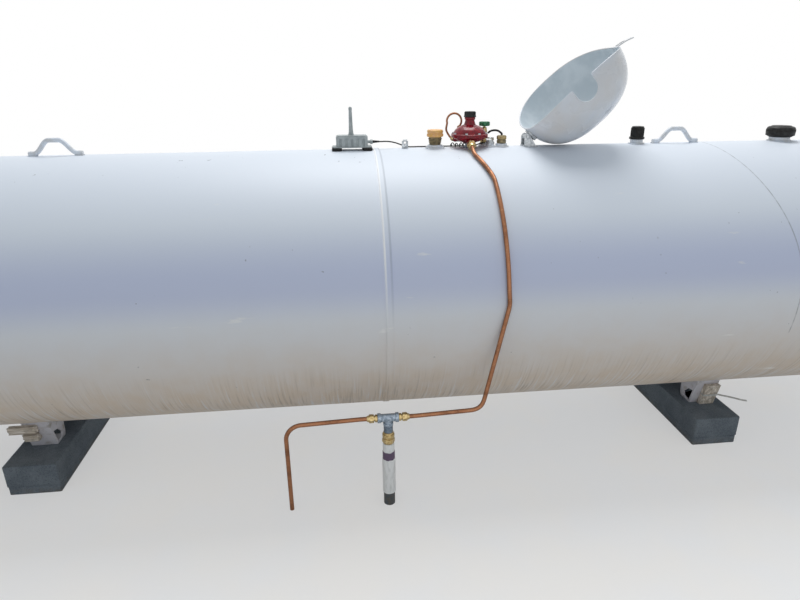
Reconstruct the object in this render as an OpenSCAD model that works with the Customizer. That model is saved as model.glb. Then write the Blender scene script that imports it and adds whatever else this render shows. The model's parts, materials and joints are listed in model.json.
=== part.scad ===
// Horizontal pressure tank for liquefied gas, on four feet and two concrete sleepers.
// Origin: ground level below the middle of the shell. X runs along the tank, -Y is the pipework side.

/* [Shell] */
// Outside diameter of the shell and of the round ends
shell_d = 1040.4; // [900:1:1200]
// Length of the straight shell between the two end welds
shell_len = 3836; // [3600:1:4400]
// Wall of the rolled shell courses
shell_wall = 7; // [5:0.5:12]
// Wall of the pressed round ends
head_wall = 5; // [4:0.5:10]
// Distance of the middle weld from the middle of the tank, towards -X
seam_shift = 20; // [0:1:60]
// Width of the raised band over the middle weld
seam_band_w = 24; // [12:1:40]
// Height of the raised band over the middle weld
seam_band_h = 2.2; // [1.5:0.1:4]

/* [Feet and sleepers] */
// Distance between the two pairs of feet, along the tank
feet_span = 2784; // [2500:1:2900]
// Distance between the front and rear feet, middle to middle
feet_track = 325; // [300:1:370]
// Height from a foot's base to the lowest line of the shell
foot_rise = 70; // [50:1:110]
// Width of a foot along the tank
foot_w = 100; // [80:1:130]
// Depth of a foot's base plate
foot_depth = 71; // [60:1:90]
// How far a foot's sloping face leans outwards at its top
foot_flare = 38; // [10:1:50]
// Plate of the formed feet
foot_plate = 6; // [4:0.5:10]
// Width of a concrete sleeper along the tank
sleeper_w = 196; // [150:1:260]
// Length of a concrete sleeper across the tank
sleeper_len = 680; // [600:1:900]
// Height of the upper concrete block
block_h = 92; // [60:1:140]
// Height of the lower concrete block above ground
footing_h = 36; // [20:1:90]

/* [Lifting lugs] */
// Distance from the middle of the tank to each lifting lug
lug_x = 1207; // [1000:1:1400]
// Length of a lug over its two feet
lug_len = 192; // [150:1:240]
// Height of a lug above the shell
lug_h = 64; // [50:1:90]
// Diameter of the bent bar of a lug
lug_bar = 17; // [12:0.5:22]

/* [Lid] */
// Length of the domed lid
lid_len = 440; // [400:1:480]
// Width of the domed lid
lid_w = 404; // [380:1:440]
// Height of the lid's crown above the shell when shut
lid_crown = 190; // [180:1:200]
// Sheet of the lid
lid_sheet = 3; // [2:0.5:5]
// Gap between the shut lid's rim and the shell
lid_gap = 11; // [9:1:13]
// Angle by which the lid stands open
lid_open = 138; // [120:1:139]
// Place of the hinge pin along the tank
hinge_x = 580; // [575:1:600]
// Height of the hinge pin above the shell
hinge_rise = 36; // [34:1:44]
// Diameter of the hinge pin
pin_d = 10; // [8:0.5:11]
// Width of the pipe notch in the front rim
notch_w = 88; // [80:1:110]
// Height of the pipe notch above the rim
notch_h = 78; // [66:1:100]
// Width of the pull strap at the free end
pull_w = 32; // [28:1:46]

/* [Valves on the shell] */
// Place of the filling valve along the tank
fill_x = 213; // [200:1:225]
// Diameter of the filling valve's cap
fill_cap_d = 63; // [52:1:70]
// Place of the regulator along the tank
regulator_x = 350; // [340:1:356]
// Diameter of the regulator's diaphragm case
regulator_d = 146; // [130:1:150]
// Place of the service valve along the tank
service_x = 424; // [422:1:430]
// Distance of the service valve behind the crown line
service_y = 62; // [58:1:70]
// Diameter of the handwheel
handwheel_d = 44; // [36:1:50]
// Place of the float gauge along the tank
gauge_x = 433; // [430:1:436]
// Place of the liquid valve along the tank
liquid_x = 480; // [478:1:484]
// Diameter of the liquid valve's brass body
liquid_d = 38; // [32:1:42]
// Place of the relief valve along the tank
relief_x = 1043; // [900:1:1060]
// Diameter of the relief valve's cap
relief_cap_d = 51; // [44:1:60]
// Distance of the large capped opening from the right end weld
vent_in = 250; // [160:1:420]
// Diameter of the large cap
vent_cap_d = 108; // [90:1:120]

/* [Level transmitter] */
// Place of the transmitter along the tank, towards -X
sender_x = -113; // [-300:1:-112]
// Length of the transmitter's case
sender_len = 131; // [110:1:140]
// Depth of the transmitter's case
sender_w = 74; // [60:1:90]
// Height of the transmitter's case
sender_h = 42; // [32:1:50]
// Height of the aerial above the case
aerial_h = 104; // [80:1:130]

/* [Pipework] */
// Outside diameter of the copper pipe
copper_d = 15.9; // [12.7:0.1:19]
// Distance of the standing pipe's axis in front of the shell
riser_out = 24.8; // [24.8:0.1:40]
// Height of the tee above ground
tee_h = 364; // [340:1:400]
// Place of the tee along the tank
tee_x = -35; // [-60:1:-20]
// Length of the tee over its two ends
tee_len = 76; // [66:1:90]
// Outside diameter of the standing pipe's sleeve
riser_d = 48; // [44:1:50]

/* [Hidden] */

shell_r = shell_d / 2;
axis_h = footing_h + block_h + foot_rise + shell_r;
crown_h = axis_h + shell_r;
foot_base_h = footing_h + block_h;
seam_x = -seam_shift;
end_x = shell_len / 2;
vent_x = end_x - vent_in;
riser_y = shell_r + riser_out;
weld_gap = 0.1;     // seat of a welded piece on the round shell
ring_gap = 0.4;     // seat of a ring right round the shell
long = 6000;
fine = 180;
round_fn = 64;

hinge_h = crown_h + hinge_rise;
lid_end_gap = 17;   // hinge pin to the lid's end wall
lid_axis_h = crown_h + lid_crown - lid_w / 2;
lid_form = 2.5;     // how full the lid's ends are
knuckle_d = pin_d + 10;
knuckle_len = 40;
ear = 4;
hinge_play = 1;
pin_play = 0.1;
pin_bore = 3 * knuckle_len;
notch_x = regulator_x;

white = "#f1f2f2";
concrete = "#7d8891";
red = "#a31524";
copper = "#b8683f";
brass = "#b98f45";
black = "#191a1b";

// Helpers

function unit(v) = v / norm(v);
function fit(v, lo, hi) = max(lo, min(hi, v));
function crown_at(y) = axis_h + sqrt(shell_r * shell_r - y * y);

// The cylinder of the shell's outside, to cut seats with
module shell_space(gap = 0)
    translate([-long / 2, 0, axis_h]) rotate([0, 90, 0]) cylinder(r = shell_r + gap, h = long, $fn = fine);

// A ring round the tank's axis from a profile of [along, outward]
module ring_at(x, profile)
    translate([x, 0, axis_h]) rotate([0, 90, 0])
        rotate_extrude($fn = fine) polygon([for (p = profile) [shell_r + p[1], p[0]]]);

// A turned piece standing on the crown line, its profile as [radius, height above the shell]
module turned(x, profile, y = 0, fn = round_fn)
    translate([x, y, crown_h]) rotate_extrude($fn = fn) polygon(profile);

// A weld-on coupling with its foot cut to the shell
module coupling(x, d, h, y = 0) {
    bevel = 3;
    sunk = 30;
    difference() {
        turned(x, [[0, -sunk], [d / 2 + bevel, -sunk], [d / 2 + bevel, 1], [d / 2, 1 + bevel],
            [d / 2, h - 1.5], [d / 2 - 1.5, h], [0, h]], y);
        shell_space(weld_gap);
    }
}

// A block with bevelled upright edges
module slab(l, w, h, bevel)
    linear_extrude(h) polygon([
        [l / 2 - bevel, -w / 2], [l / 2, bevel - w / 2], [l / 2, w / 2 - bevel], [l / 2 - bevel, w / 2],
        [bevel - l / 2, w / 2], [-l / 2, w / 2 - bevel], [-l / 2, bevel - w / 2], [bevel - l / 2, -w / 2]]);

// Points of an arc that rounds the corner at b between a and c with bend radius r
function corner(a, b, c, r, n) =
    let (u = unit(a - b), v = unit(c - b), half = acos(u * v) / 2, cut = r / tan(half),
        m = b + unit(u + v) * (r / sin(half)), p = b + u * cut - m, q = b + v * cut - m, sweep = 180 - 2 * half)
    [for (i = [0:n]) m + (sin(sweep * (1 - i / n)) * p + sin(sweep * i / n) * q) / sin(sweep)];

// A route whose inner corners are rounded
function rounded(route, r, n) = concat([route[0]],
    [for (i = [1:len(route) - 2]) each corner(route[i - 1], route[i], route[i + 1], r, n)],
    [route[len(route) - 1]]);

// A smooth curve through points, with n steps from each to the next
function spline(p, n) = concat([for (i = [0:len(p) - 2]) for (k = [0:n - 1])
    let (a = p[max(i - 1, 0)], b = p[i], c = p[i + 1], d = p[min(i + 2, len(p) - 1)], s = k / n)
    b + (c - a) * s / 2 + (2 * a - 5 * b + 4 * c - d) * s * s / 2 + (3 * b - a - 3 * c + d) * s * s * s / 2],
    [p[len(p) - 1]]);

function normals(t, first) =
    [for (i = 0, n = first; i < len(t); i = i + 1, n = i < len(t) ? unit(n - t[i] * (n * t[i])) : n) n];

// A tube swept along a route
module tube(route, r, sides) {
    last = len(route) - 1;
    t = [for (i = [0:last]) unit(route[min(i + 1, last)] - route[max(i - 1, 0)])];
    n = normals(t, unit(cross(t[0], abs(t[0][2]) < 0.9 ? [0, 0, 1] : [1, 0, 0])));
    points = [for (i = [0:last]) for (k = [0:sides - 1])
        route[i] + r * (cos(360 * k / sides) * n[i] + sin(360 * k / sides) * cross(t[i], n[i]))];
    skin = [for (i = [0:last - 1]) for (k = [0:sides - 1]) let (a = i * sides + k, b = i * sides + (k + 1) % sides)
        each [[a, a + sides, b + sides], [a, b + sides, b]]];
    start = [[for (k = [0:sides - 1]) k]];
    end = [[for (k = [sides - 1:-1:0]) last * sides + k]];
    polyhedron(points, concat(skin, start, end), convexity = 8);
}

// Shell

// One rolled course of the shell between two places along the tank
module course(from, to)
    translate([from, 0, axis_h]) rotate([0, 90, 0]) difference() {
        cylinder(r = shell_r, h = to - from, $fn = fine);
        translate([0, 0, -1]) cylinder(r = shell_r - shell_wall, h = to - from + 2, $fn = fine);
    }

module shell_left() color(white) course(-end_x, seam_x);
module shell_right() color(white) course(seam_x, end_x);

module seam_band()
    color(white) ring_at(seam_x, [[-seam_band_w / 2, ring_gap], [2.5 - seam_band_w / 2, seam_band_h],
        [seam_band_w / 2 - 2.5, seam_band_h], [seam_band_w / 2, ring_gap]]);

module end_welds()
    color(white) for (side = [-1, 1])
        ring_at(side * end_x, [[-8, ring_gap], [-4, 1.8], [0, 2.2], [4, 1.8], [8, ring_gap]]);

// A round end, a half ball of plate
module head(side)
    translate([side * end_x, 0, axis_h]) intersection() {
        difference() {
            sphere(r = shell_r, $fn = 120);
            sphere(r = shell_r - head_wall, $fn = 120);
        }
        translate([side > 0 ? 0 : -long, -long / 2, -long / 2]) cube(long);
    }

module head_left() color(white) head(-1);
module head_right() color(white) head(1);

// Feet and sleepers

foot_mid = feet_track / 2;
foot_outer = foot_mid + foot_depth / 2;
foot_inner = foot_mid - foot_depth / 2;
foot_over = foot_outer + foot_flare;
foot_top = foot_rise + shell_r * (1 - sqrt(1 - foot_over * foot_over / shell_r / shell_r)) + 5;
// Place of the sloping face in front of the tank's axis, by height above the foot's base
function face_at(h) = foot_outer + foot_flare * h / foot_top;

// An outline of [in front of the axis, height] carried along the tank
module along_tank(len, outline)
    translate([-len / 2, 0, 0]) rotate([90, 0, 90]) linear_extrude(len) polygon([for (p = outline) [-p[0], p[1]]]);

// A formed foot: two side plates with a five-sided window, a sloping face towards -Y and a base plate
module foot(x, side) {
    low = foot_base_h;
    window = foot_rise - 4;
    translate([x, 0, low]) mirror([0, side > 0 ? 1 : 0, 0]) difference() {
        union() {
            for (s = [-1, 1]) translate([s * (foot_w - foot_plate) / 2, 0, 0]) along_tank(foot_plate,
                [[foot_outer, 0], [foot_inner, 0], [foot_inner - 6, 14], [foot_inner - 12, foot_top],
                    [foot_over, foot_top]]);
            along_tank(foot_w, [[foot_outer, 0], [foot_inner, 0], [foot_inner, foot_plate],
                [face_at(foot_plate) - foot_plate, foot_plate], [foot_over - foot_plate, foot_top],
                [foot_over, foot_top]]);
        }
        for (s = [-1, 1]) translate([s * (foot_w / 2), 0, 0]) along_tank(2 * foot_plate + 4,
            [[foot_outer - foot_plate - 2, foot_plate + 2], [foot_mid - 6, foot_plate + 8],
                [foot_mid - 15, window * 0.45], [foot_mid + 12, window * 0.88],
                [face_at(window) - foot_plate - 4, window]]);
        bolt_slot(0, -foot_mid + 6);
        translate([-x, 0, -low]) shell_space(weld_gap);
    }
}

// A bolt slot through a foot's base plate
module bolt_slot(x, y)
    translate([x, y, -1]) {
        for (s = [-1, 1]) translate([s * 10, 0, 0]) cylinder(d = 18, h = foot_plate + 2, $fn = 32);
        translate([-10, -9, 0]) cube([20, 18, foot_plate + 2]);
    }

module foot_left_front() color(white) foot(-feet_span / 2, -1);
module foot_left_rear() color(white) foot(-feet_span / 2, 1);
module foot_right_front() color(white) foot(feet_span / 2, -1);
module foot_right_rear() color(white) foot(feet_span / 2, 1);

module block(x) translate([x, 0, footing_h]) slab(sleeper_w, sleeper_len, block_h, 6);
module footing(x) translate([x, 0, 0]) slab(sleeper_w - 4, sleeper_len - 5, footing_h, 6);
module block_left() color(concrete) block(-feet_span / 2);
module block_right() color(concrete) block(feet_span / 2);
module footing_left() color(concrete) footing(-feet_span / 2);
module footing_right() color(concrete) footing(feet_span / 2);

// A board that lies against a front foot's sloping face, between two heights above the foot's base
module board(x, len, from, to, thick)
    translate([x, 0, foot_base_h]) along_tank(len,
        [[face_at(from) + board_gap, from], [face_at(from) + thick, from],
            [face_at(to) + thick, to], [face_at(to) + board_gap, to]]);

// Packing left from the delivery: an upright board at the right foot and two broken ones at the left foot
board_gap = 0.3;
board_t = 22;
upright_w = 63;
upright_h = 106;
module packing_wood()
    color("#b7a98a") {
        board(feet_span / 2 + foot_w / 2 - upright_w / 2 - 2, upright_w, 0, upright_h, board_t);
        board(-feet_span / 2 - 46, 106, 82, 115, board_t + 2);
        board(-feet_span / 2 - 24, 63, 42, 74, board_t + 4);
    }

// Lifting lugs

// A bar bent to a bell shape, flat on the shell at both ends
module lug(x) {
    rise = lug_h - lug_bar;
    steps = 28;
    route = [for (i = [0:steps]) let (s = 2 * i / steps - 1, a = fit((0.8 - abs(s)) / 0.62, 0, 1))
        [x + s * lug_len / 2, 0, crown_h + lug_bar / 2 + ring_gap + rise * (1 - cos(180 * a)) / 2]];
    tube(route, lug_bar / 2, 12);
}

module lug_left() color(white) lug(-lug_x);
module lug_right() color(white) lug(lug_x);

// Valves

coupling_h = 12;
module couplings()
    color(white) {
        coupling(fill_x, fill_cap_d - 3, coupling_h);
        coupling(service_x, 34, coupling_h, service_y);
        coupling(gauge_x, 34, coupling_h - 2);
        coupling(liquid_x, liquid_d + 8, coupling_h);
        coupling(relief_x, relief_cap_d - 2, coupling_h + 6);
        coupling(vent_x, vent_cap_d - 30, coupling_h + 4);
    }

fill_top = 42;
module fill_valve() {
    r = fill_cap_d / 2 - 4;
    color("#5b5338") turned(fill_x, concat([[0, coupling_h], [r - 8, coupling_h]],
        [for (i = [0:4]) each [[r - 7 + i, coupling_h + 2 + 5 * i], [r - 5 + i, coupling_h + 4 + 5 * i],
            [r - 7 + i, coupling_h + 6 + 5 * i]]], [[r - 3, fill_top], [0, fill_top]]));
}

module fill_cap() {
    r = fill_cap_d / 2;
    color("#d9a63a") turned(fill_x, [[0, fill_top], [r - 2, fill_top], [r, fill_top + 2], [r, fill_top + 12],
        [r - 1, fill_top + 14], [r, fill_top + 16], [r, fill_top + 24], [r - 3, fill_top + 27], [0, fill_top + 27]]);
}

case_low = 16;
flange_h = 38;
flange_t = 13;
bonnet_low = 86;
bonnet_top = 114;
cap_top = 135;

module regulator_stand()
    color("#8b8f92") difference() {
        union() {
            translate([regulator_x - 16, -3, crown_h - 20]) cube([32, 6, 20 + case_low]);
            translate([regulator_x - 24, -12, crown_h - 20]) cube([48, 24, 24]);
        }
        shell_space(weld_gap);
    }

// Round case in two dished halves with a wide bolted flange
module regulator_case() {
    r = regulator_d / 2;
    low = flange_h;
    high = flange_h + flange_t;
    lobes = 8;
    color(red) {
        turned(regulator_x, [[0, case_low], [24, case_low], [26, case_low + 3], [40, case_low + 7],
            [r - 14, low - 6], [r - 8, low], [r - 3, low], [r - 1, low + 2], [r - 1, high - 2], [r - 3, high],
            [r - 8, high], [r - 10, high + 7], [r - 17, high + 17], [r - 29, high + 26], [r - 43, high + 32],
            [24, bonnet_low], [0, bonnet_low]]);
        for (i = [0:lobes - 1]) translate([regulator_x, 0, crown_h + low]) rotate(360 * (i + 0.5) / lobes)
            translate([r - 8, 0, 0]) cylinder(d = 15, h = flange_t, $fn = 32);
        at_outlet() cylinder(r = outlet_r, h = outlet_reach, $fn = 48);
        translate([regulator_x, 0, crown_h + inlet_h]) rotate([0, 90, inlet_bearing])
            cylinder(r = 11, h = inlet_reach, $fn = 48);
    }
}

module regulator_bonnet()
    color(red) turned(regulator_x, [[0, bonnet_low], [23, bonnet_low], [20, bonnet_low + 8], [18, bonnet_top - 12],
        [20.5, bonnet_top - 8], [20.5, bonnet_top], [0, bonnet_top]]);

module regulator_cap()
    color(black) turned(regulator_x, [[0, bonnet_top], [23.5, bonnet_top], [24, bonnet_top + 2], [22, cap_top - 4],
        [20, cap_top], [0, cap_top]]);

// The outlet points to -Y and a little down, the inlet to the rear left
outlet_tilt = 14;
outlet_turn = 6;
outlet_h = 36;
outlet_r = 15;
outlet_reach = regulator_d / 2 + 1;
outlet_hex = 32;
inlet_bearing = 142;
inlet_h = 30;
inlet_reach = 66;
nut_len = 36;
outlet_way = [-sin(outlet_turn) * cos(outlet_tilt), -cos(outlet_turn) * cos(outlet_tilt), -sin(outlet_tilt)];

module at_outlet()
    translate([regulator_x, 0, crown_h + outlet_h]) rotate([0, 0, -outlet_turn]) rotate([90 + outlet_tilt, 0, 0])
        children();

// A hexagonal nut along +Z with a turned collar
module flare_nut(across, len, hole_d) {
    difference() {
        union() {
            cylinder(d = across / cos(30), h = len * 0.6, $fn = 6);
            cylinder(d1 = across * 0.94, d2 = hole_d + 5, h = len, $fn = 48);
        }
        translate([0, 0, -1]) cylinder(d = hole_d, h = len + 2, $fn = 32);
    }
}

pipe_play = 0.6;
module outlet_nut()
    color(brass) at_outlet() translate([0, 0, outlet_reach]) flare_nut(outlet_hex, nut_len, copper_d + pipe_play);

stem_top = 84;
stem_r = 5;
hub_r = stem_r + 0.3;
module service_valve()
    color(brass) {
        turned(service_x, [[0, coupling_h], [15, coupling_h], [15, coupling_h + 12], [12, coupling_h + 14],
            [12, stem_top - 26], [10, stem_top - 24], [10, stem_top - 15], [stem_r, stem_top - 13],
            [stem_r, stem_top], [0, stem_top]], service_y);
        translate([service_x, service_y, crown_h + inlet_h]) rotate([0, -90, 0])
            cylinder(r = 10, h = valve_reach, $fn = 40);
    }

module handwheel() {
    r = handwheel_d / 2;
    z = stem_top - 10;
    color("#118a54") difference() {
        turned(service_x, [[hub_r, z], [11, z], [r - 6, z + 3], [r - 2, z + 1], [r, z + 4], [r, z + 15],
            [r - 2, z + 18], [r - 6, z + 15], [11, z + 9], [9, z + 10], [hub_r, z + 10]], service_y);
        for (i = [0:4]) translate([service_x, service_y, crown_h + z]) rotate(72 * i)
            translate([r + 2, 0, -2]) cylinder(d = 8, h = 24, $fn = 24);
    }
}

// Copper loop from the regulator's inlet round to the service valve, its points from the regulator's axis
valve_reach = 26;
pigtail_d = 8;
loop_r = 30;
loop_at = [-52, 50, 96];
module pigtail() {
    inlet_way = [cos(inlet_bearing), sin(inlet_bearing), 0];
    start = [0, 0, inlet_h] + (inlet_reach + 0.1) * inlet_way;
    turns = 12;
    loop = [for (i = [0:turns]) let (a = 195 - 250 * i / turns)
        loop_at + [loop_r * cos(a), 8 * i / turns, loop_r * sin(a)]];
    valve = [service_x - valve_reach - 0.1 - regulator_x, service_y, inlet_h];
    points = concat([start, start + 5 * inlet_way, start + 10 * inlet_way, start + 21 * inlet_way + [-2, 0, 10],
        start + [-31, 14, 33]], loop,
        [[-15, 78, 56], [4, 86, 39], valve + [-26, 13, 0], valve + [-12, 0, 0], valve + [-6, 0, 0], valve]);
    color(copper) tube([for (p = spline(points, 2)) p + [regulator_x, 0, crown_h]], pigtail_d / 2, 8);
}

module float_gauge()
    color("#a9adb0") turned(gauge_x, [[0, coupling_h - 2], [18, coupling_h - 2], [18, coupling_h + 6],
        [14, coupling_h + 9], [14, 26], [0, 26]]);

module gauge_lens()
    color("#dfe5e4") turned(gauge_x, [[0, 26], [15, 26], [16, 27], [16, 33], [13, 36], [0, 36]]);

module liquid_valve() {
    r = liquid_d / 2;
    color(brass) turned(liquid_x, [[0, coupling_h], [r - 3, coupling_h], [r, coupling_h + 3], [r, 24], [r - 1.5, 26],
        [r, 28], [r, 40], [r - 3, 43], [0, 43]]);
}

// Moulded vent tube, its points from the liquid valve's axis
module vent_tube() {
    points = [[-44, 42, 50], [-38, 32, 57], [-26, 20, 61], [-14, 10, 60], [-5, 3, 54], [0, 0, 49], [0, 0, 46], [0, 0, 43.1]];
    color(black) tube([for (p = spline(points, 2)) p + [liquid_x, 0, crown_h]], 4, 8);
}

module relief_cap() {
    r = relief_cap_d / 2;
    base = coupling_h + 6;
    color(black) turned(relief_x, concat([[0, base], [r + 4, base], [r + 4, base + 8], [r - 1, base + 10]],
        [for (i = [0:4]) each [[r, base + 12 + 7 * i], [r, base + 16 + 7 * i], [r - 1.5, base + 17 + 7 * i]]],
        [[r - 3, base + 50], [0, base + 50]]));
}

module vent_cap() {
    r = vent_cap_d / 2;
    base = coupling_h + 4;
    color(black) turned(vent_x, [[0, base], [r - 10, base], [r - 8, base + 3], [r - 2, base + 5], [r, base + 8],
        [r - 1, base + 12], [r, base + 16], [r - 1, base + 30], [r - 3, base + 36], [r - 8, base + 40],
        [r - 30, base + 44], [0, base + 45]]);
}

// Level transmitter

pad_h = 9;
pad_over = 12;
pad_len = 38;
module sender_feet()
    color(black) for (s = [-1, 1]) difference() {
        translate([sender_x + s * (sender_len / 2 + pad_over - pad_len / 2), 0, crown_h - 6])
            slab(pad_len, sender_w + 12, 6 + pad_h, 6);
        shell_space(weld_gap);
    }

module sender_case() {
    base = crown_h + pad_h;
    skirt = 5;
    inset = 7;
    color("#c9cdcb") translate([sender_x, 0, base]) {
        slab(sender_len + 2 * pad_over - 4, sender_w, skirt, 8);
        translate([0, 0, skirt]) difference() {
            slab(sender_len - 10, sender_w - 4, sender_h - skirt, 10);
            for (s = [-1, 1]) for (i = [-2:2])
                translate([i * 22, s * (sender_w / 2 - 2), -1]) cylinder(d = 9, h = sender_h - skirt - inset, $fn = 24);
        }
        translate([0, 0, sender_h]) slab(sender_len - 18, sender_w - 12, 3, 8);
        translate([sender_len / 2 - 6, 0, gland_h - pad_h]) rotate([0, 90, 0]) cylinder(d = 12, h = 12, $fn = 32);
        translate([sender_len / 2 + 6, 0, gland_h - pad_h]) rotate([0, 90, 0]) cylinder(d = 18, h = 9, $fn = 6);
    }
}

gland_h = 28;
relief_len = 26;

// Tapered strain relief of the lead
module sender_relief()
    color(black) translate([sender_x + sender_len / 2 + 15, 0, crown_h + gland_h]) rotate([0, 90, 0])
        cylinder(d1 = 11.5, d2 = 7.5, h = relief_len, $fn = 32);

module aerial()
    color("#b9bdb9") translate([sender_x - 2, 0, crown_h + pad_h + sender_h + 3])
        rotate_extrude($fn = 40) polygon([[0, 0], [11, 0], [11, 3], [9.5, 6], [6, aerial_h - 12], [6.5, aerial_h - 11],
            [6.5, aerial_h - 3], [4.5, aerial_h], [0, aerial_h]]);

// Points of the lead as [along, behind the crown line, height of its middle above the shell there]
lead_d = 5;
lead_route = [[-6.5, 0, 28], [4, 0, 28], [16, 3, 28], [29, 10, 26.8], [42, 18.5, 24.6], [55, 27, 21.5],
    [68, 34, 17.5], [80, 38.5, 13], [92, 41.5, 8.6], [103, 43, 5.2], [115, 44, 3.2], [133, 45, 2.9],
    [152, 46, 2.9], [172, 47, 2.9], [193, 47, 2.9], [213, 47, 2.9], [234, 46, 2.9], [255, 43, 2.9],
    [276, 38, 2.9], [297, 33, 2.9], [318, 28, 2.9], [339, 25, 2.9], [360, 24, 3], [378, 21, 5],
    [392, 16, 10], [404.5, 11.3, 13.7], [416.2, 6.7, 14]];

module sender_cable()
    color(black) tube([for (p = lead_route) [p[0], p[1], crown_at(p[1]) + p[2]]], lead_d / 2, 8);

// Lid and hinge

tab_x = 94;
tab_w = 24;
tab_h = 34;
module catch_tab()
    color("#aab0b4") difference() {
        union() {
            translate([tab_x - tab_w / 2, -2.5, crown_h - 5]) cube([tab_w, 5, 5 + tab_h - tab_w / 4]);
            translate([tab_x - tab_w / 2 + 4, -2.5, crown_h]) cube([tab_w - 8, 5, tab_h]);
        }
        translate([tab_x, -10, crown_h + tab_h - 12]) rotate([-90, 0, 0]) cylinder(d = 9, h = 20, $fn = 32);
        shell_space(weld_gap);
    }

ear_top = 13;
module hinge_bracket()
    color("#c3c8ca") difference() {
        union() {
            for (s = [-1, 1]) translate([hinge_x, s * (knuckle_len / 2 + hinge_play) + (s < 0 ? -ear : 0), 0])
                rotate([-90, 0, 0]) linear_extrude(ear)
                    polygon([[-ear_top, -hinge_h], [-12, -crown_h + 20], [32, -crown_h + 20], [32, -crown_h - 6],
                        [ear_top, -hinge_h], [ear_top * 0.7, -hinge_h - ear_top * 0.7], [0, -hinge_h - ear_top],
                        [-ear_top * 0.7, -hinge_h - ear_top * 0.7]]);
            translate([hinge_x - 12, -knuckle_len / 2 - 12, crown_h - 20])
                cube([50, knuckle_len + 24, 20 + ear]);
        }
        pin_hole();
        shell_space(weld_gap);
    }

// Bore for the hinge pin, right through
module pin_hole()
    translate([hinge_x, -pin_bore / 2, hinge_h]) rotate([-90, 0, 0])
        cylinder(d = pin_d + pin_play, h = pin_bore, $fn = 48);

// A pin along Y with a flat head at its front
module hinge_pin()
    color("#c9cccd") translate([hinge_x, 0, hinge_h]) rotate([-90, 0, 0]) {
        grip = knuckle_len / 2 + hinge_play + ear;
        translate([0, 0, -grip - 4]) cylinder(d = pin_d, h = 2 * grip + 12, $fn = 48);
        translate([0, 0, -grip - 4]) cylinder(d = pin_d + 6, h = 3.6, $fn = 48);
        translate([0, 0, grip + 0.4]) cylinder(d = pin_d + 5, h = 4, $fn = 48);
    }

// Turns what belongs to the lid from shut to open
module opened() translate([hinge_x, 0, hinge_h]) rotate([0, lid_open, 0]) translate([-hinge_x, 0, -hinge_h]) children();

// The lid's form, turned about an axis along the tank
module lid_form_solid(inset) {
    half = lid_len / 2 - inset;
    r = lid_w / 2 - inset;
    steps = 28;
    translate([hinge_x - lid_end_gap - lid_len / 2, 0, lid_axis_h]) rotate([0, 90, 0])
        rotate_extrude($fn = 96) polygon(concat([[0, -half]], [for (i = [1:steps - 1])
            let (s = sin(90 * (2 * i / steps - 1)))
                [r * pow(1 - pow(abs(s), lid_form), 1 / lid_form), half * s]], [[0, half]]));
}

module lid()
    color(white) opened() difference() {
        lid_form_solid(0);
        lid_form_solid(lid_sheet);
        shell_space(lid_gap);
        translate([notch_x, -lid_w, crown_at(lid_w / 2) + lid_gap + notch_h - notch_w / 2]) {
            rotate([-90, 0, 0]) cylinder(d = notch_w, h = lid_w, $fn = 64);
            translate([-notch_w / 2, 0, -notch_h]) cube([notch_w, lid_w, notch_h]);
        }
    }

// Strap on the lid's end with the knuckle that turns on the pin
module lid_strap()
    color("#c3c8ca") opened() difference() {
        union() {
            translate([hinge_x, -knuckle_len / 2, hinge_h]) rotate([-90, 0, 0])
                cylinder(d = knuckle_d, h = knuckle_len, $fn = 48);
            translate([hinge_x - lid_end_gap - 12, -knuckle_len / 2, hinge_h - 14])
                cube([16, knuckle_len, 44]);
            translate([hinge_x - lid_end_gap, -knuckle_len / 2, hinge_h - 4]) cube([lid_end_gap, knuckle_len, 8]);
        }
        lid_form_solid(-weld_gap);
        pin_hole();
    }

// A strap at the free end, bent up to take hold of, with a slot that drops over the catch tab
pull_len = 84;
pull_t = 4;
pull_bend = 190;
pull_slot = 16;
pull_play = 8;
module lid_pull() {
    tip = hinge_x - lid_end_gap - lid_len;
    base = crown_h + lid_gap + 3;
    steps = 12;
    turn = 180 / PI * pull_len / pull_bend;
    reach = pull_bend * sin(turn);
    slot_len = tab_w + 2 * pull_play - pull_slot;
    color(white) opened() difference() {
        intersection() {
            rotate([90, 0, 0]) translate([0, 0, -pull_w / 2]) linear_extrude(pull_w) polygon(concat(
                [[tip + 12, base + pull_t], [tip + 12, base]],
                [for (i = [0:steps]) let (a = turn * i / steps)
                    [tip - pull_bend * sin(a), base + pull_bend * (1 - cos(a))]],
                [for (i = [steps:-1:0]) let (a = turn * i / steps)
                    [tip - (pull_bend - pull_t) * sin(a), base + pull_bend - (pull_bend - pull_t) * cos(a)]]));
            translate([tip - reach + pull_w / 2, 0, base - 1]) {
                cylinder(d = pull_w, h = 50, $fn = 64);
                translate([0, -pull_w / 2, 0]) cube([reach, pull_w, 50]);
            }
        }
        translate([tab_x, 0, base - 1]) {
            for (s = [-1, 1]) translate([s * slot_len / 2, 0, 0]) cylinder(d = pull_slot, h = 50, $fn = 48);
            translate([-slot_len / 2, -pull_slot / 2, 0]) cube([slot_len, pull_slot, 50]);
        }
        lid_form_solid(-weld_gap);
    }
}

// Copper pipe and standing pipe

pipe_off = copper_d / 2 + 1.5;
pipe_bend = 40;
drop_bend = 58;
straight = 60;      // straight pipe beside a flare nut
run_fall = 10;      // fall of the run from its bend to the tee

// Angles in front of the crown line at which the pipe comes down on the shell, straightens and leaves it
line_down = 16;
line_turn = 33;
line_off = 80;

// Place of the pipe along the tank, by its angle in front of the crown line
function line_x(a) = regulator_x - 11 + 2.4 * (min(a, line_turn) - line_down) + 0.2 * max(0, a - line_turn);

// A point just off the shell, by its angle in front of the crown line
function on_shell(x, a) = [x, -(shell_r + pipe_off) * sin(a), axis_h + (shell_r + pipe_off) * cos(a)];

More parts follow.
